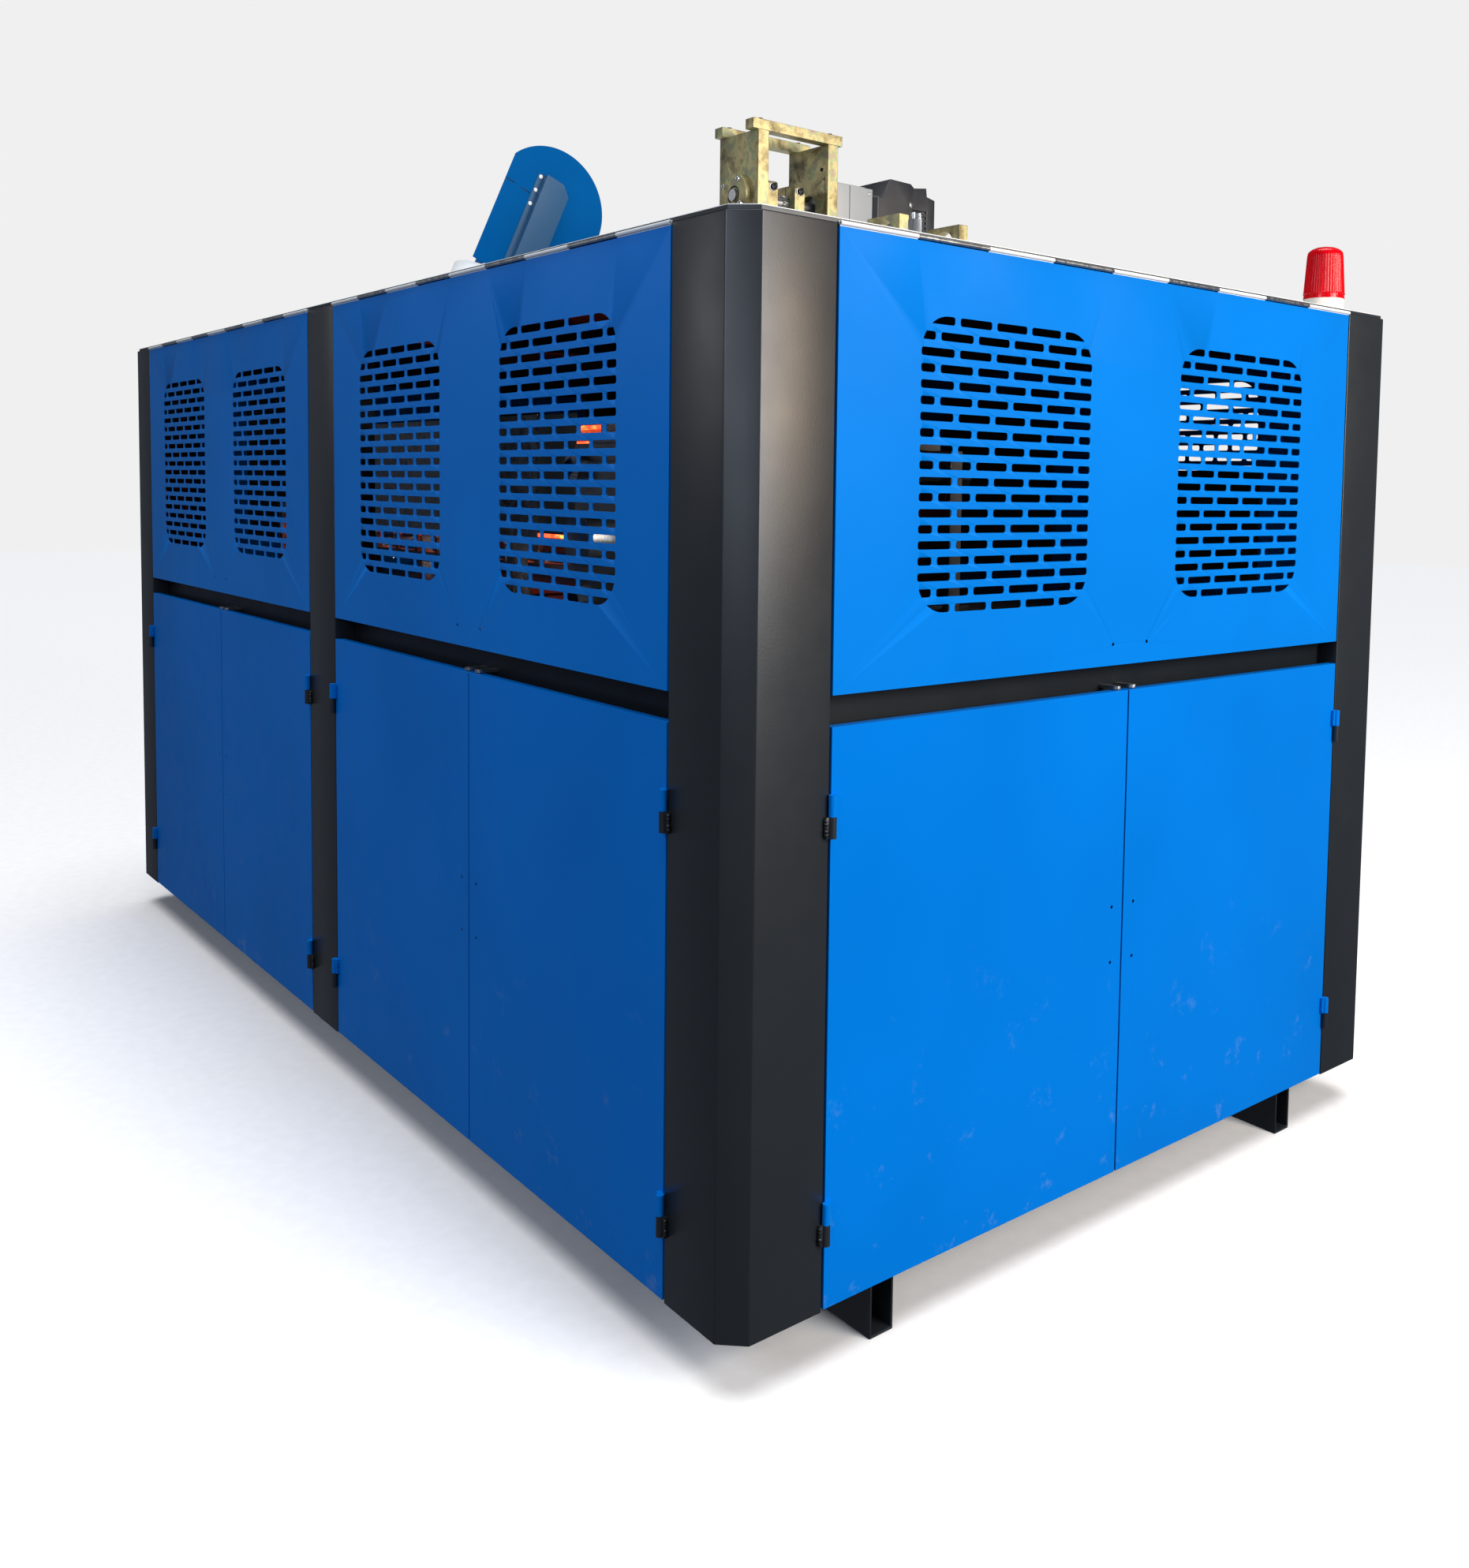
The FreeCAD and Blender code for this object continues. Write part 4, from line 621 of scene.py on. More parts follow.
@dataclass
class CadNodes:
    """Dresses the CAD nodes, and stands copies with rounded edges in for those seen close."""

    door_edge_mm: float = 1.6
    panel_edge_mm: float = 0.8
    post_edge_mm: float = 2.2

    def coats(self) -> dict[str, Coat]:
        """Finish of each node by name."""
        table = {
            "skid_rails": Coat(CHARCOAL, 2.0, slot="frame_enamel"),
            "welded_frame": Coat(FRAME_COAT, 2.5),
            "posts": Coat(CHARCOAL, self.post_edge_mm, 3),
            "roof_sheets": Coat(ROOF_COAT, 0.9),
            "hinge_pintles": Coat(CHARCOAL, 0.8),
            "panel_hinges": Coat(ZINC_PLATE),
            "door_catches": Coat(ZINC_PLATE, 1.2),
            "left_lower_panel": Coat(BLUE, self.door_edge_mm),
            "bed_plates": Coat(GROUND_STEEL, 1.0),
            "clamp_end_plates": Coat(GROUND_STEEL, 1.5),
            "tie_bars": Coat(HARD_CHROME, 1.5),
            "clamp_cylinders": Coat(MOULD_METAL, 2.0),
            "nozzle_beam": Coat(GROUND_STEEL, 1.0),
            "stretch_columns": Coat(HARD_CHROME, 1.0),
            "stretch_top_plate": Coat(GROUND_STEEL, 1.0),
            "drive_bracket": Coat(ZINC_YELLOW, 1.2),
            "bearing_flange": Coat(ZINC_YELLOW, 1.0, slot="bright_steel"),
            "bearing_blocks": Coat(ZINC_YELLOW, 1.0),
            "servo_motor": Coat(SERVO_COAT, 2.5, 3),
            "motor_cover": Coat(BLACK_ABS, 2.5, 3),
            "idler_plates": Coat(ZINC_YELLOW, 1.2),
            "air_port": Coat(GROUND_STEEL, 0.6),
            "fan_housing": Coat(BLUE_FAN_SHADED, 1.0),
            "fan_cover": Coat(BLUE_COVER, 0.7),
            "fan_duct": Coat(DUCT_COAT, 0.8),
            "fan_motor": Coat(SERVO_COAT, 1.5),
            "beacon_base": Coat(CREAM_ABS, 1.5),
            "beacon_lens": Coat(RED_LENS),
            "oven_boxes": Coat(ZINC_PLATE),
            "heater_lamps": Coat(LAMP_GLOW),
            "carrier_chain": Coat(GROUND_STEEL),
            "chain_guides": Coat(GROUND_STEEL),
            "electrical_cabinet": Coat(GREY_COAT, 2.0),
            "air_tank": Coat(TANK_COAT),
            "platen_front": Coat(GROUND_STEEL, 1.2),
            "platen_back": Coat(GROUND_STEEL, 1.2),
            "mould_front": Coat(MOULD_METAL, 0.8),
            "mould_back": Coat(MOULD_METAL, 0.8),
            "stretch_carriage": Coat(GROUND_STEEL),
            "stretch_rods": Coat(HARD_CHROME),
            "drive_shaft": Coat(GROUND_STEEL),
            "fan_impeller": Coat(ZINC_PLATE),
            "beacon_reflector": Coat(HARD_CHROME),
            "carrier_wheel": Coat(MOULD_METAL, 1.0),
        }
        for node in frame["nodes"]:
            if node in door_nodes():
                table[node] = Coat(BLUE, self.door_edge_mm, 3)
            elif node.startswith("lift_panel"):
                table[node] = Coat(BLUE_LIFT, self.panel_edge_mm, 1)
        return table

    def rounded(self, node: str, coat: Coat) -> bpy.types.Object:
        """Copy of a node with its edges rounded, which stands for the node.

        Args:
            node: name of the CAD node.
            coat: its finish and edges.

        Returns:
            The copy, dressed.
        """
        source = frame["nodes"][node]
        copy = source.copy()
        copy.data = source.data.copy()
        copy.parent = None
        copy.matrix_world = Matrix.Identity(4)
        copy.name = f"{node}_piece"
        bpy.context.collection.objects.link(copy)
        Bench.only(copy)
        bpy.ops.mesh.customdata_custom_splitnormals_clear()
        bpy.ops.object.mode_set(mode="EDIT")
        bpy.ops.mesh.select_all(action="SELECT")
        bpy.ops.mesh.remove_doubles(threshold=0.00001)
        Bench.done()
        Bench.soften(copy, coat.edge_mm * MM, coat.segments)
        # below half a step of the rounded edge, so that the sheet beside it stays flat
        sheet = coat.segments < 3 or node.startswith("door_")
        smooth = 45.0 / coat.segments - 1.5 if sheet else coat.smooth_deg
        dress(copy, coat.finish, body_of_node(node), coat.slot, smooth)
        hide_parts(node)
        return copy

    def build(self) -> None:
        """Dress every node."""
        for node, coat in self.coats().items():
            mesh = frame["nodes"][node].data
            mesh.materials.clear()
            mesh.materials.append(coat.finish.build())
            for face in mesh.polygons:
                face.material_index = 0
            if coat.edge_mm > 0:
                self.rounded(node, coat)


def body_of_node(node: str) -> str:
    """Name of the body that holds a CAD node."""
    for body, nodes in frame["record"]["behaviour"]["bodies"].items():
        if node in nodes:
            return body
    raise KeyError(node)


# ------------------------------------------------------------------ small parts
def turned(axis: Axis, at: Sequence[float]) -> Matrix:
    """Matrix that lays a +Z piece along an axis (towards -Y for Y) and moves it to a place."""
    turn = {Axis.X: Matrix.Rotation(math.pi / 2, 4, "Y"),
            Axis.Y: Matrix.Rotation(math.pi / 2, 4, "X"), Axis.Z: Matrix.Identity(4)}[axis]
    return Matrix.Translation(at) @ turn


@dataclass
class Fixings:
    """Screws, nuts and beads that the sub-assemblies share; each is modelled once at the origin."""

    socket_share: float = 0.30  # hexagon's corner radius over the head's diameter

    def cap_screw(self, name: str, d: float, height: float) -> bpy.types.Object:
        """Socket head cap screw, head upwards from z 0.

        Args:
            name: name of the helper.
            d: head diameter.
            height: head height.

        Returns:
            The head, with its hexagon socket cut in and its rim rounded.
        """
        head = Bench.cylinder(name, d / 2, height, (0, 0, height / 2), sides=36)
        cutter = Bench.cylinder("hexagon", d * self.socket_share, height, (0, 0, height * 0.95),
                                sides=6)
        Bench.modify(head, "BOOLEAN", object=cutter, operation="DIFFERENCE", solver="EXACT")
        Bench.drop(cutter)
        return Bench.soften(head, d * 0.045, 2)

    def pan_screw(self, name: str, d: float) -> bpy.types.Object:
        """Low domed screw head with a cross recess."""
        head = Bench.cylinder(name, d / 2, d * 0.18, (0, 0, d * 0.09), sides=28)
        Bench.step(head, (d * 0.12, d * 0.09), (d * 0.12, d * 0.05))
        for turn in (0.0, math.pi / 2):
            blade = Bench.block("blade", (d * 0.5, d * 0.1, d * 0.2), (0, 0, d * 0.32))
            blade.data.transform(Matrix.Rotation(turn, 4, "Z"))
            Bench.modify(head, "BOOLEAN", object=blade, operation="DIFFERENCE", solver="EXACT")
            Bench.drop(blade)
        return head

    def hex_nut(self, name: str, across: float, height: float) -> bpy.types.Object:
        """Hexagon nut or head with a chamfered top."""
        nut = Bench.cylinder(name, across / math.sqrt(3), height, (0, 0, height / 2), sides=6)
        Bench.step(nut, (across * 0.05, height * 0.10), (across * 0.16, 0),
                   (across * 0.02, -height * 0.3))
        return Bench.soften(nut, across * 0.02, 1)

    def weld_bead(self, name: str, length: float, width: float) -> bpy.types.Object:
        """Lumpy fillet of weld along z: overlapping drops melted into one skin."""
        drops = []
        count = max(3, round(length / (width * 0.75)))
        for i in range(count):
            Bench.clear()
            swell = 1.0 + 0.22 * math.sin(2.3 * i + 0.7)
            bpy.ops.mesh.primitive_uv_sphere_add(
                segments=14, ring_count=8, radius=width / 2 * swell,
                location=(width * 0.10 * math.sin(1.7 * i), width * 0.08 * math.cos(2.1 * i),
                          width * 0.45 + (length - width * 0.9) * i / (count - 1)))
            drops.append(Bench.named(f"{name}_drop_{i}"))
        bead = Bench.join(name, drops)
        Bench.modify(bead, "REMESH", mode="VOXEL", voxel_size=width * 0.13)
        return Bench.modify(bead, "SMOOTH", factor=0.5, iterations=2)

    @staticmethod
    def spread(name: str, master: bpy.types.Object, places: Iterable[Sequence[float]],
               finish: Finish, axis: Axis = Axis.Z, **dressing: object) -> bpy.types.Object:
        """Copy a part to its places, join the copies, dress them and drop the part.

        Args:
            name: name of the piece.
            master: part that is copied, lying along +Z.
            places: where the copies go.
            finish: their surface.
            axis: where they point.
            dressing: what else dress takes.

        Returns:
            The joined piece.
        """
        copies = [Bench.copy(master, f"{name}_{i}", turned(axis, at))
                  for i, at in enumerate(places)]
        Bench.drop(master)
        return dress(Bench.join(name, copies), finish, **dressing)


FIX = Fixings()
HINGE_DEPTH = 0.0155            # front of a door hinge's barrel to the door's face


def door_nodes() -> list[str]:
    """Names of the doors' CAD nodes."""
    return [n for n in frame["nodes"] if n.startswith("door_") and n != "door_catches"]


def middle(node: str) -> Vector:
    """Middle of a CAD node's box."""
    low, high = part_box(node)
    return (Vector(low) + Vector(high)) / 2


# ------------------------------------------------------------------ sub-assemblies
@dataclass
class HingeWelds:
    """Weld beads that hold the door hinges' pads, black on the posts and blue on the doors."""

    split_z: tuple[float, float] = (0.282, 1.046)
    half: float = 0.040
    pad_out: float = 0.0125     # hinge axis to the bead
    proud: float = 0.0045       # face to the bead's middle
    width: float = 0.0085
    knuckle: float = 0.0075     # door's edge to the hinge axis

    def place(self, door: str, upper: bool, z: float) -> tuple[float, float, float]:
        """Where a bead goes beside one half of a door's hinge.

        Args:
            door: name of the door.
            upper: whether it is the half on the door.
            z: height where the halves meet.

        Returns:
            Foot of the bead.
        """
        low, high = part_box(door)
        name_side = door.split("_")[1]
        hand = -1 if door.endswith("left") else 1
        out = (-hand if upper else hand) * self.pad_out
        up = z + 0.004 if upper else z - self.half + 0.003
        inner = HINGE_DEPTH - self.proud
        if name_side == "front":
            axis = (high[0] - self.knuckle) if hand > 0 else (low[0] + self.knuckle)
            return axis + out, low[1] + inner, up
        if name_side == "back":
            axis = (low[0] + self.knuckle) if hand > 0 else (high[0] - self.knuckle)
            return axis - out, high[1] - inner, up
        axis = (high[1] - self.knuckle) if hand > 0 else (low[1] + self.knuckle)
        return high[0] - inner, axis + out, up

    def build(self) -> None:
        """Weld every hinge half."""
        doors = door_nodes()
        master = FIX.weld_bead("post_bead", self.half - 0.006, self.width)
        FIX.spread("hinge_welds_posts", master,
                   [self.place(d, False, z) for d in doors for z in self.split_z], WELD_BLACK,
                   smooth_deg=60)
        master = FIX.weld_bead("door_bead", self.half - 0.010, self.width * 0.7)
        for door in doors:
            beads = [Bench.copy(master, f"{door}_bead_{i}",
                                Matrix.Translation(self.place(door, True, z)))
                     for i, z in enumerate(self.split_z)]
            dress(Bench.join(f"{door}_welds", beads), WELD_BLUE, door, smooth_deg=60)
        Bench.drop(master)


@dataclass
class RoofDrive:
    """Screws, a seal and a joint strip on the stretch drive's bracket, blocks and servo."""

    bolt_circle: float = 0.041
    bolt_turns_deg: tuple[float, ...] = (55, 145, 235, 325)
    shaft: tuple[float, float] = (1.193, 2.317)
    block_screw_y: tuple[float, float] = (-0.4415, -0.3615)
    block_screw_z: float = 2.344
    bar_screw_y: tuple[float, float] = (-0.499, -0.293)
    bar_screw_in: float = 0.0155
    plug_at: tuple[float, float, float] = (1.246, -0.308, 2.402)
    cover_screw: tuple[float, float] = (-0.031, 2.356)

    def flange(self) -> None:
        """Four cap screws and a rubber lip in the bearing flange."""
        low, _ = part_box("bearing_flange")
        x, z = self.shaft
        spots = [(x + self.bolt_circle * math.cos(math.radians(a)), low[1],
                  z + self.bolt_circle * math.sin(math.radians(a))) for a in self.bolt_turns_deg]
        FIX.spread("flange_screws", FIX.cap_screw("screw", 0.013, 0.008), spots, HARD_CHROME,
                   Axis.Y, slot="bright_steel")
        lip = Bench.ring("flange_seal", 0.0205, 0.0022, (x, low[1] + 0.0015, z), Axis.Y, 56, 10,
                         0.0003)
        dress(lip, SEAL_RUBBER, smooth_deg=60)

    def blocks(self) -> None:
        """Clamping screws through the split blocks, black with a bright washer."""
        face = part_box("bearing_blocks")[1][0]
        thick = 0.0016
        washer = Bench.cylinder("washer", 0.0105, thick, (0, 0, thick / 2), sides=40)
        Bench.soften(washer, 0.0005, 2)
        FIX.spread("block_washers", washer,
                   [(face, y, self.block_screw_z) for y in self.block_screw_y], GROUND_STEEL,
                   Axis.X)
        FIX.spread("block_screws", FIX.cap_screw("screw", 0.0165, 0.007),
                   [(face + thick, y, self.block_screw_z) for y in self.block_screw_y], DARK_STEEL,
                   Axis.X)

    def bracket(self) -> None:
        """Screws that hold the top bars, and one spare threaded hole's plug."""
        low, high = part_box("drive_bracket")
        spots = [(x, y, high[2]) for x in (low[0] + self.bar_screw_in, high[0] - self.bar_screw_in)
                 for y in self.bar_screw_y]
        FIX.spread("bar_screws", FIX.cap_screw("screw", 0.013, 0.005), spots, DARK_STEEL)
        FIX.spread("bracket_plug", FIX.cap_screw("plug", 0.009, 0.002), [self.plug_at], DARK_STEEL,
                   Axis.Y)

    def servo(self) -> None:
        """Lid strip, corner screws and the cover's fixing screw."""
        low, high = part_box("servo_motor")
        mid = middle("servo_motor")
        rib = Bench.block("servo_joint", (high[0] - low[0] + 0.0012, 0.0016, 0.1185),
                          (mid[0], mid[1] - 0.004, low[2] + 0.0600))
        Bench.soften(rib, 0.0004, 2)
        dress(rib, DARK_STEEL, slot="motor_silver")
        spots = [(high[0], y, z) for y in (low[1] + 0.011, high[1] - 0.011)
                 for z in (low[2] + 0.012, low[2] + 0.108)]
        FIX.spread("servo_screws", FIX.cap_screw("screw", 0.008, 0.0016), spots, GROUND_STEEL,
                   Axis.X)
        FIX.spread("cover_screw", FIX.pan_screw("knob", 0.013),
                   [(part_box("motor_cover")[1][0], *self.cover_screw)], GROUND_STEEL, Axis.X)

    def build(self) -> None:
        """Add all of them."""
        self.flange()
        self.blocks()
        self.bracket()
        self.servo()


@dataclass
class ExhaustFan:
    """Screws of the fan's channel, its lock seams, and the motor's fins."""

    centre: tuple[float, float] = (-0.511, 2.419)
    tilt_deg: float = 23.0
    screw_out: float = 0.057    # axis to the screws, across the discharge
    screw_down: tuple[float, ...] = (-0.064, -0.022, 0.021)
    outer_seam: tuple[float, float] = (0.118, 0.146)
    inner_seam: tuple[float, float] = (0.067, 0.098)
    fins: int = 4
    fin_pitch: float = 0.010
    motor_r: float = 0.055

    def point(self, x: float, out: float, down: float) -> Vector:
        """Place on the scroll from distances across and along the discharge."""
        a = math.radians(self.tilt_deg)
        along = Vector((0, -math.sin(a), -math.cos(a)))
        across = Vector((0, -math.cos(a), math.sin(a)))
        return Vector((x, *self.centre)) + across * out + along * down

    def seam(self, name: str, x: float, out: tuple[float, float], down: float) -> bpy.types.Object:
        """Short folded seam across the sheet.

        Args:
            name: name of the helper.
            x: height of the sheet's face.
            out: distances from the axis to both ends.
            down: distance along the discharge.

        Returns:
            The seam in place.
        """
        length = out[1] - out[0]
        strip = Bench.block(name, (0.0016, length, 0.0022), (0, 0, 0))
        Bench.soften(strip, 0.0007, 2)
        a = math.radians(self.tilt_deg)
        strip.data.transform(Matrix.Translation(self.point(x, sum(out) / 2, down))
                             @ Matrix.Rotation(-a, 4, "X"))
        return strip

    def build(self) -> None:
        """Add all of them."""
        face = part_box("fan_housing")[1][0]
        FIX.spread("fan_screws", FIX.pan_screw("screw", 0.011),
                   [self.point(face + 0.0015, self.screw_out, d) for d in self.screw_down],
                   DUCT_COAT, Axis.X, slot="bright_steel")
        # the seams are blue sheet but drawn near-black: painted shade in their folds
        seams = Bench.join("fan_seams_painted_shade", [
            self.seam("outer_seam", face + 0.0004, self.outer_seam, -0.008),
            self.seam("inner_seam", face + 0.0004, self.inner_seam, -0.006)])
        dress(seams, FRAME_COAT, slot="blue_powder_coat")
        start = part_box("fan_motor")[0][0] + 0.009
        fin = Bench.ring("fin", self.motor_r + 0.0005, 0.0016, (0, 0, 0), Axis.X, 64, 6, 0.0004)
        FIX.spread("fan_motor_fins", fin,
                   [(start + self.fin_pitch * i, *self.centre) for i in range(self.fins)],
                   SERVO_COAT, smooth_deg=60)


@dataclass
class Beacon:
    """Ribbed red lens with its rim, bulb and base joint."""

    ribs: int = 44
    rib_depth: float = 0.0011
    taper: float = 0.849        # radius under the dome over the radius at the foot
    dome_h: float = 0.016
    dome: tuple[tuple[float, float], ...] = ((0.003, 0.0035), (0.006, 0.0045), (0.010, 0.0042),
                                             (0.012, 0.0023))

    def lens(self) -> bpy.types.Object:
        """Ribbed lens: a cone whose wall is fluted inside, under a low dome."""
        low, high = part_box("beacon_lens")
        x, y, _ = middle("beacon_lens")
        foot_r = (high[0] - low[0]) / 2
        body_h = high[2] - low[2] - self.dome_h
        shell = Bench.cylinder("beacon_lens_piece", foot_r - self.rib_depth, body_h,
                               (x, y, low[2] + body_h / 2), sides=self.ribs * 4,
                               r_top=foot_r * self.taper - self.rib_depth)
        Bench.step(shell, *self.dome)
        Bench.pick(shell, lambda f: f.normal.z < -0.9)
        bpy.ops.mesh.delete(type="FACE")
        for at in (0.012, 0.016, body_h - 0.010):
            bpy.ops.mesh.select_all(action="SELECT")
            bpy.ops.mesh.bisect(plane_co=(x, y, low[2] + at), plane_no=(0, 0, 1))
        Bench.done()
        mesh = shell.data
        for vert in mesh.vertices:
            dx, dy = vert.co.x - x, vert.co.y - y
            up = vert.co.z - low[2]
            if 0.014 < up < body_h - 0.004:
                swell = math.cos(self.ribs * math.atan2(dy, dx))
                reach = math.hypot(dx, dy)
                grow = 1 + self.rib_depth * swell / reach
                vert.co.x, vert.co.y = x + dx * grow, y + dy * grow
        Bench.modify(shell, "SOLIDIFY", thickness=0.002, offset=-1)
        return shell

    def build(self) -> None:
        """Add all of them."""
        low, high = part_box("beacon_lens")
        x, y, _ = middle("beacon_lens")
        shell = self.lens()
        dress(shell, RED_LENS, smooth_deg=50)
        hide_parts("beacon_lens")
        rim = Bench.ring("beacon_rim", (high[0] - low[0]) / 2 - 0.0022, 0.0022,
                         (x, y, low[2] + 0.0135), Axis.Z, 72, 10)
        dress(rim, RED_LENS, smooth_deg=60)
        base_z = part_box("beacon_base")[0][2]
        foot = Bench.ring("beacon_foot", 0.0505, 0.0018, (x, y, base_z + 0.0022), Axis.Z, 72, 8)
        dress(foot, SEAL_RUBBER, smooth_deg=60)
        bulb = Bench.cylinder("beacon_bulb", 0.009, 0.034, (x, y, low[2] + 0.052), sides=24)
        Bench.step(bulb, (0.003, 0.004), (0.003, 0.002))
        Bench.soften(bulb, 0.001, 2)
        dress(bulb, DIAL_WHITE, slot="lamp_quartz", smooth_deg=60)


@dataclass
class AirPort:
    """Barbs on the two nipples, and the moulded tag beside the coupling."""

    nipple_y: tuple[float, float] = (-0.5785, -0.5635)
    barbs: tuple[float, ...] = (2.1680, 2.1720, 2.1755)
    tag_z: float = 2.1255
    nut_at: tuple[float, float] = (-0.571, 2.120)

    def build(self) -> None:
        """Add both."""
        x = middle("air_port").x
        barb = Bench.ring("barb", 0.0044, 0.0011, (0, 0, 0), Axis.Z, 32, 8)
        FIX.spread("nipple_barbs", barb, [(x, y, z) for y in self.nipple_y for z in self.barbs],
                   HARD_CHROME, slot="bright_steel", smooth_deg=60)
        tag = Bench.block("port_tag", (0.010, 0.042, 0.010),
                          (x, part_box("air_port")[0][1] + 0.012, self.tag_z))
        Bench.soften(tag, 0.0022, 3)
        dress(tag, TAG_BLUE)
        FIX.spread("port_nut", FIX.hex_nut("nut", 0.041, 0.008), [(x, *self.nut_at)], SEAL_RUBBER)


@dataclass
class Oven:
    """Ceramic ends of the lamps, and a dark screen past the end of each bank."""

    rows: int = 8
    cap_len: float = 0.020
    lamp_y: tuple[float, float] = (-0.525, -0.245)
    lamp_r: float = 0.0055
    bank_h: float = 0.345
    cap_in: float = 0.016       # end of a lamp's third of the bank to the cap's middle
    screen: tuple[float, float, float] = (0.200, 0.0015, 0.300)
    screen_y: tuple[float, float] = (-0.744, -0.026)

    def build(self) -> None:
        """Cap both ends of every lamp and screen the banks' ends."""
        low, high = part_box("heater_lamps")
        step = (high[0] - low[0]) / 3
        pitch = self.bank_h / self.rows
        cap = Bench.cylinder("cap", 0.0085, self.cap_len, (0, 0, 0), Axis.X, 24)
        Bench.soften(cap, 0.0018, 2)
        places = [(low[0] + bank * step + end, y, low[2] + self.lamp_r + pitch * row)
                  for y in self.lamp_y for bank in range(3) for row in range(self.rows)
                  for end in (self.cap_in, step - self.cap_in)]
        FIX.spread("lamp_caps", cap, places, CERAMIC)
        _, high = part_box("oven_boxes")
        long, _, tall = self.screen
        for name, y in zip(("front", "back"), self.screen_y):
            screen = Bench.block(f"oven_end_screen_{name}", self.screen,
                                 (high[0] + long / 2 + 0.0005, y, high[2] - tall / 2 - 0.002))
            Bench.step(screen, (0.012, 0.0005), towards=(0, 1, 0), both=True)
            Bench.soften(screen, 0.0003, 1)
            dress(screen, TANK_COAT)


@dataclass
class Carriers:
    """Collars on the chain's spindles."""

    run: int = 12
    turn: int = 6
    loop_x: tuple[float, float] = (-1.350, 0.450)
    loop_y: float = -0.385
    radius: float = 0.306
    top: float = 1.486

    def spots(self) -> Iterator[tuple[float, float]]:
        """Places of the spindles round the loop."""
        a, b = self.loop_x
        for i in range(self.run):
            x = a + (i + 0.5) * (b - a) / self.run
            yield x, self.loop_y - self.radius
            yield x, self.loop_y + self.radius
        for i in range(self.turn):
            t = math.radians(-90 + (i + 0.5) * 180 / self.turn)
            yield b + self.radius * math.cos(t), self.loop_y + self.radius * math.sin(t)
            yield a - self.radius * math.cos(t), self.loop_y + self.radius * math.sin(t)

    def build(self) -> None:
        """Give each spindle a collar."""
        collar = Bench.cylinder("collar", 0.0135, 0.010, (0, 0, 0), sides=28)
        Bench.step(collar, (0.004, 0.004))
        Bench.soften(collar, 0.0008, 2)
        FIX.spread("carrier_collars", collar, [(x, y, self.top - 0.012) for x, y in self.spots()],
                   MOULD_METAL)


@dataclass
class ClampUnit:
    """Screws of the mould halves and their cooling nipples."""

    screw_in: float = 0.04
    nipple_up: tuple[float, ...] = (0.06, 0.18, 0.30)

    def build(self) -> None:
        """Add them to both halves."""
        for side in ("front", "back"):
            mould, body = f"mould_{side}", f"clamp_{side}"
            low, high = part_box(mould)
            y = middle(mould).y
            spots = [(x, y, high[2]) for x in (low[0] + self.screw_in, high[0] - self.screw_in)]
            FIX.spread(f"{mould}_screws", FIX.cap_screw("screw", 0.016, 0.008), spots, DARK_STEEL,
                       body=body)
            nipple = Bench.cylinder("nipple", 0.009, 0.028, (0, 0, 0.014), sides=28)
            Bench.step(nipple, (0.002, 0.003), (0.0025, -0.012))
            Bench.soften(nipple, 0.0006, 2)
            spots = [(high[0], y, low[2] + up) for up in self.nipple_up]
            FIX.spread(f"{mould}_nipples", nipple, spots, BRASS, Axis.X, body=body)


@dataclass
class Cabinet:
    """Door, hinges, lock and grille of the electrical cabinet."""

    door_gap: float = 0.018
    door_t: float = 0.022
    fitting_in: float = 0.12    # cabinet's top or foot to the first hinge or slat
    slats: int = 8

    def build(self) -> None:
        """Add them on the cabinet's front."""
        low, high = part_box("electrical_cabinet")
        gaps = 2 * self.door_gap
        mid = middle("electrical_cabinet")
        face = low[1] - self.door_t
        leaf = Bench.block("cabinet_door",
                           (high[0] - low[0] - gaps, self.door_t, high[2] - low[2] - gaps),
                           (mid.x, low[1] - self.door_t / 2, mid.z))
        Bench.step(leaf, (0.030, 0), (0.004, -0.003), towards=(0, -1, 0))
        Bench.soften(leaf, 0.003, 2)
        dress(leaf, GREY_COAT)
        hinge = Bench.cylinder("hinge", 0.007, 0.070, (0, 0, 0), sides=24)
        Bench.soften(hinge, 0.0015, 2)
        FIX.spread("cabinet_hinges", hinge,
                   [(low[0] + 0.010, low[1] - 0.010, z)
                    for z in (low[2] + self.fitting_in, mid.z, high[2] - self.fitting_in)],
                   ZINC_PLATE)
        lock = Bench.cylinder("cabinet_lock", 0.016, 0.012, (0, 0, 0.006), sides=32)
        Bench.step(lock, (0.004, -0.002), (0.006, 0.004))
        Bench.soften(lock, 0.0008, 2)
        FIX.spread("cabinet_lock", lock, [(high[0] - 0.060, face + 0.003, mid.z)], DARK_STEEL,
                   Axis.Y, slot="black_moulding")
        slat = Bench.block("slat", (0.16, 0.008, 0.007), (0, 0, 0))
        Bench.soften(slat, 0.0025, 2)
        FIX.spread("cabinet_grille", slat,
                   [(mid.x, face - 0.0005, high[2] - self.fitting_in - 0.014 * i)
                    for i in range(self.slats)], BLACK_ABS)


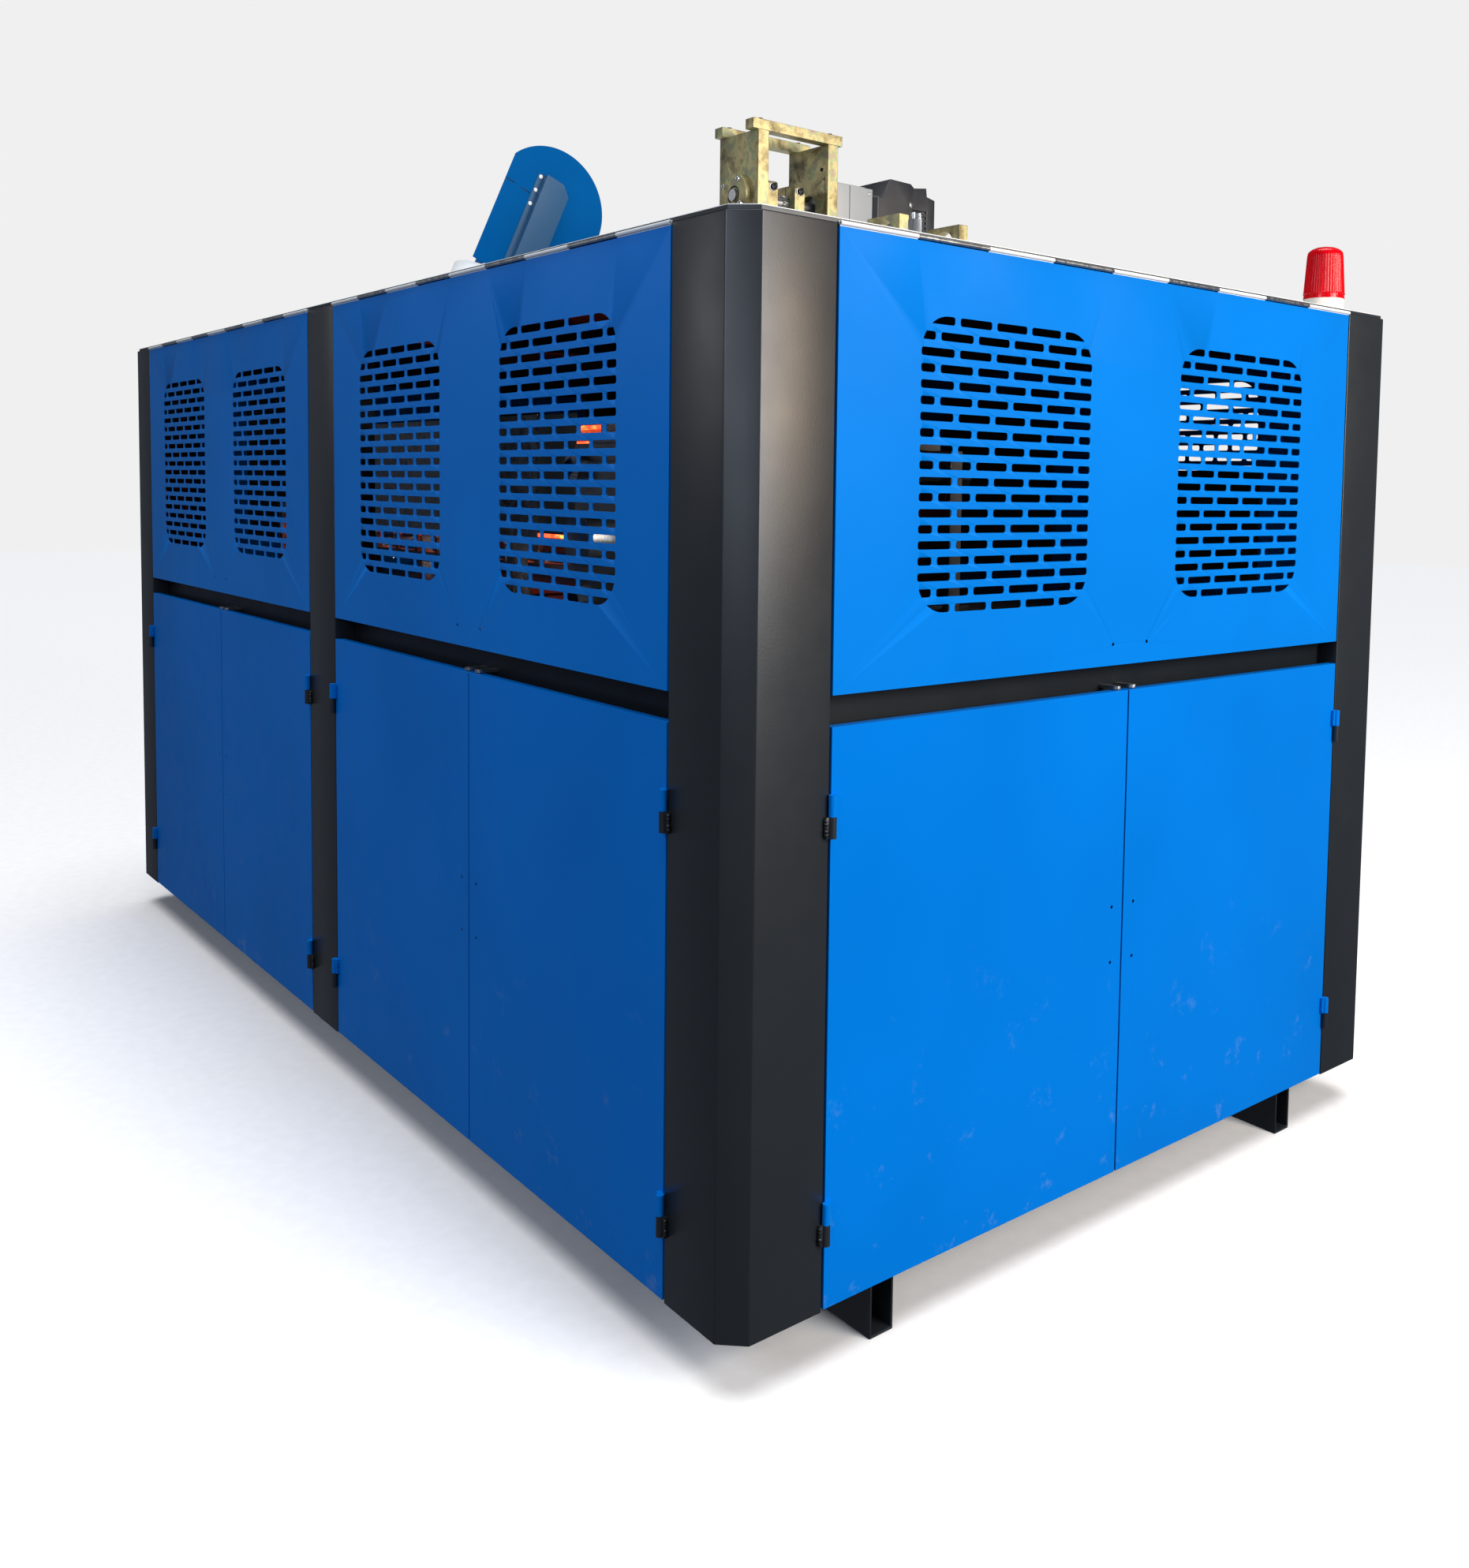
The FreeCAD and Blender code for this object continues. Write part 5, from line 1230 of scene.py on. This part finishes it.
@dataclass
class AirTank:
    """Weld seams, boss and gauge of the tank."""

    seam_x: tuple[float, float] = (0.55, 1.65)
    axis_y: float = 0.300
    radius: float = 0.225

    def build(self) -> None:
        """Add them on the tank."""
        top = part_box("air_tank")[1][2]
        x, y = middle("air_tank").x, self.axis_y
        seam = Bench.ring("seam", self.radius, 0.0035, (0, 0, 0), Axis.X, 96, 8)
        FIX.spread("tank_seams", seam, [(sx, y, top - self.radius) for sx in self.seam_x],
                   TANK_COAT, smooth_deg=60)
        boss = Bench.cylinder("tank_boss", 0.018, 0.050, (x, y, top + 0.018), sides=32)
        Bench.step(boss, (0.005, 0), (0.001, 0.020))
        Bench.soften(boss, 0.0012, 2)
        dress(boss, BRASS)
        dial = Bench.cylinder("tank_gauge", 0.032, 0.026, (0, 0, 0), sides=48)
        Bench.step(dial, (0.003, 0), (0.001, -0.003))
        Bench.soften(dial, 0.0012, 2)
        FIX.spread("tank_gauge", dial, [(x, y - 0.02, top + 0.075)], DIAL_WHITE, Axis.Y)


@dataclass
class DoorBacks:
    """Stiffener across the back of each door."""

    width: float = 0.050
    depth: float = 0.018
    skin: float = 0.002
    short_by: float = 0.14      # door's width less the stiffener's length
    above_middle: float = 0.10

    def build(self) -> None:
        """Add a hat section across the back of every door."""
        for door in door_nodes():
            low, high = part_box(door)
            mid = middle(door)
            side = door.split("_")[1]
            inside = HINGE_DEPTH + self.skin + self.depth / 2
            if side == "right":
                size = (self.depth, high[1] - low[1] - self.short_by, self.width)
                at = (high[0] - inside, mid.y, mid.z + self.above_middle)
            else:
                y = low[1] + inside if side == "front" else high[1] - inside
                size = (high[0] - low[0] - self.short_by, self.depth, self.width)
                at = (mid.x, y, mid.z + self.above_middle)
            hat = Bench.block(f"{door}_stiffener", size, at)
            Bench.soften(hat, 0.004, 3)
            dress(hat, BLUE, door)


@dataclass
class VentShadeSheets:
    """Dark sheets held behind the vents of the back and left lift-up panels: painted shade of the
    machine's dark inside seen through the vents.
    """

    long: float = 0.516
    tall: float = 0.590
    low_tall: float = 0.320     # the sheet that leaves its vent's upper rows open
    thick: float = 0.005
    behind: float = 0.0072      # front of the barrel hinge to the sheet
    foot: float = 0.126         # panel foot to the sheet
    offset: float = 0.3975      # middle of the panel to the middle of a vent

    def build(self) -> None:
        """Hang a black sheet of painted shade behind each vent of the three panels."""
        inside = self.behind + self.thick / 2
        for node, talls in (("lift_panel_left", (self.tall, self.tall)),
                            ("lift_panel_back_1", (self.tall, self.low_tall)),
                            ("lift_panel_back_2", (self.tall, self.tall))):
            low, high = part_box(node)
            mid = middle(node)
            shade_sheets = []
            for number, tall in enumerate(talls):
                along = (2 * number - 1) * self.offset
                z = low[2] + self.foot + tall / 2
                if node == "lift_panel_left":
                    size, at = (self.thick, self.long, tall), (low[0] + inside, mid.y + along, z)
                    thin = (1, 0, 0)
                else:
                    size, at = (self.long, self.thick, tall), (mid.x + along, high[1] - inside, z)
                    thin = (0, 1, 0)
                shade_sheets.append(Bench.block(f"{node}_mat_{number}", size, at))
                Bench.step(shade_sheets[-1], (0.010, 0.0008), towards=thin, both=True)
            # black rubber sheets: painted shade of the dark inside behind the vents
            for shade_sheet in shade_sheets:
                dress(shade_sheet, SEAL_RUBBER, node)


# ------------------------------------------------------------------ studio
@dataclass
class Studio:
    """Pale floor, soft light from the right, camera at eye height off the right front corner."""

    eye: tuple[float, float, float] = (3.907, -2.441, 1.641)
    turn_deg: tuple[float, float, float] = (86.283, -0.977, 49.247)
    lens_mm: float = 32.09
    shift: tuple[float, float] = (-0.0845, -0.1305)

    def camera(self) -> None:
        """Make the camera."""
        data = bpy.data.cameras.new("studio_camera")
        data.lens = self.lens_mm
        data.sensor_width = 36
        data.shift_x, data.shift_y = self.shift
        data.clip_end = 200
        camera = bpy.data.objects.new("studio_camera", data)
        camera.location = self.eye
        camera.rotation_euler = [math.radians(a) for a in self.turn_deg]
        bpy.context.collection.objects.link(camera)
        bpy.context.scene.camera = camera

    def softbox(self, name: str, at: Sequence[float], to: Sequence[float],
                size: tuple[float, float], power: float, colour: str = "#ffffff") -> None:
        """Add a rectangular soft light that looks at a point.

        Args:
            name: name of the light.
            at: its place.
            to: the point.
            size: width and height.
            power: watts.
            colour: its colour.
        """
        data = bpy.data.lights.new(name, "AREA")
        data.shape = "RECTANGLE"
        data.size, data.size_y = size
        data.energy = power
        data.color = linear(colour)[:3]
        light = bpy.data.objects.new(name, data)
        light.location = at
        light.rotation_euler = (Vector(to) - Vector(at)).to_track_quat("-Z", "Y").to_euler()
        bpy.context.collection.objects.link(light)

    def overhead(self, strength: float) -> None:
        """Add the wide soft light straight above, which whitens the floor and the roof."""
        data = bpy.data.lights.new("overhead", "SUN")
        data.energy = strength * math.pi
        data.angle = math.radians(50)
        light = bpy.data.objects.new("overhead", data)
        light.location = (0, 0, 8)
        bpy.context.collection.objects.link(light)

    def floor(self) -> None:
        """Make the plain floor."""
        Bench.clear()
        bpy.ops.mesh.primitive_plane_add(size=60)
        floor = Bench.named("studio_floor")
        paper = Finish("matt white paper", "#f4f4f4", roughness=0.9, specular=0.1)
        floor.data.materials.append(paper.build())
        floor.visible_diffuse = False      # keeps the paper from lighting the machine's sides
        floor.visible_glossy = False

    def world(self) -> None:
        """Even pale surroundings."""
        world = bpy.data.worlds.new("pale_room")
        bpy.context.scene.world = world
        world.use_nodes = True
        tree = world.node_tree
        tree.nodes.clear()
        seen = add(tree, "ShaderNodeBackground", {"Color": (1, 1, 1, 1), "Strength": 0.87})
        fill = add(tree, "ShaderNodeBackground", {"Color": linear("#dfe9ff"), "Strength": 0.14})
        ray = add(tree, "ShaderNodeLightPath")
        both = add(tree, "ShaderNodeMixShader",
                   {0: ray.outputs["Is Camera Ray"], 1: fill.outputs[0], 2: seen.outputs[0]})
        add(tree, "ShaderNodeOutputWorld", {"Surface": both.outputs[0]})

    def build(self) -> None:
        """Set the studio up."""
        self.camera()
        self.world()
        self.floor()
        self.overhead(0.95)
        for lamp in (
                ("key_right", (8.0, 0.8, 3.2), (1.97, 0.1, 1.1), (3.2, 3.2), 500),
                ("warm_right", (5.0, 1.26, 2.7), (1.97, -1.0, 2.1), (0.8, 1.1), 60, "#eccda8"),
                ("front_corner", (2.6, -5.2, 3.6), (0.9, -1.0, 1.5), (1.8, 1.8), 72, "#e4edff"),
                ("sheen_corner", (5.0, -5.4, 2.8), (1.97, -1.06, 1.5), (0.8, 1.8), 26, "#e0eaff"),
                ("window_front", (-3.0, -4.6, 3.4), (0.6, -1.0, 1.8), (1.6, 1.2), 16)):
            self.softbox(*lamp)
        view = bpy.context.scene.view_settings
        view.view_transform = "Standard"
        view.look = "None"


def main() -> None:
    """Build every piece in order."""
    logging.basicConfig(level=logging.INFO, format="%(message)s")
    Studio().build()
    CadNodes().build()
    for part in (HingeWelds(), RoofDrive(), ExhaustFan(), Beacon(), AirPort(), Oven(), Carriers(),
                 ClampUnit(), Cabinet(), AirTank(), DoorBacks(), VentShadeSheets()):
        part.build()


if __name__ == "__main__":
    main()
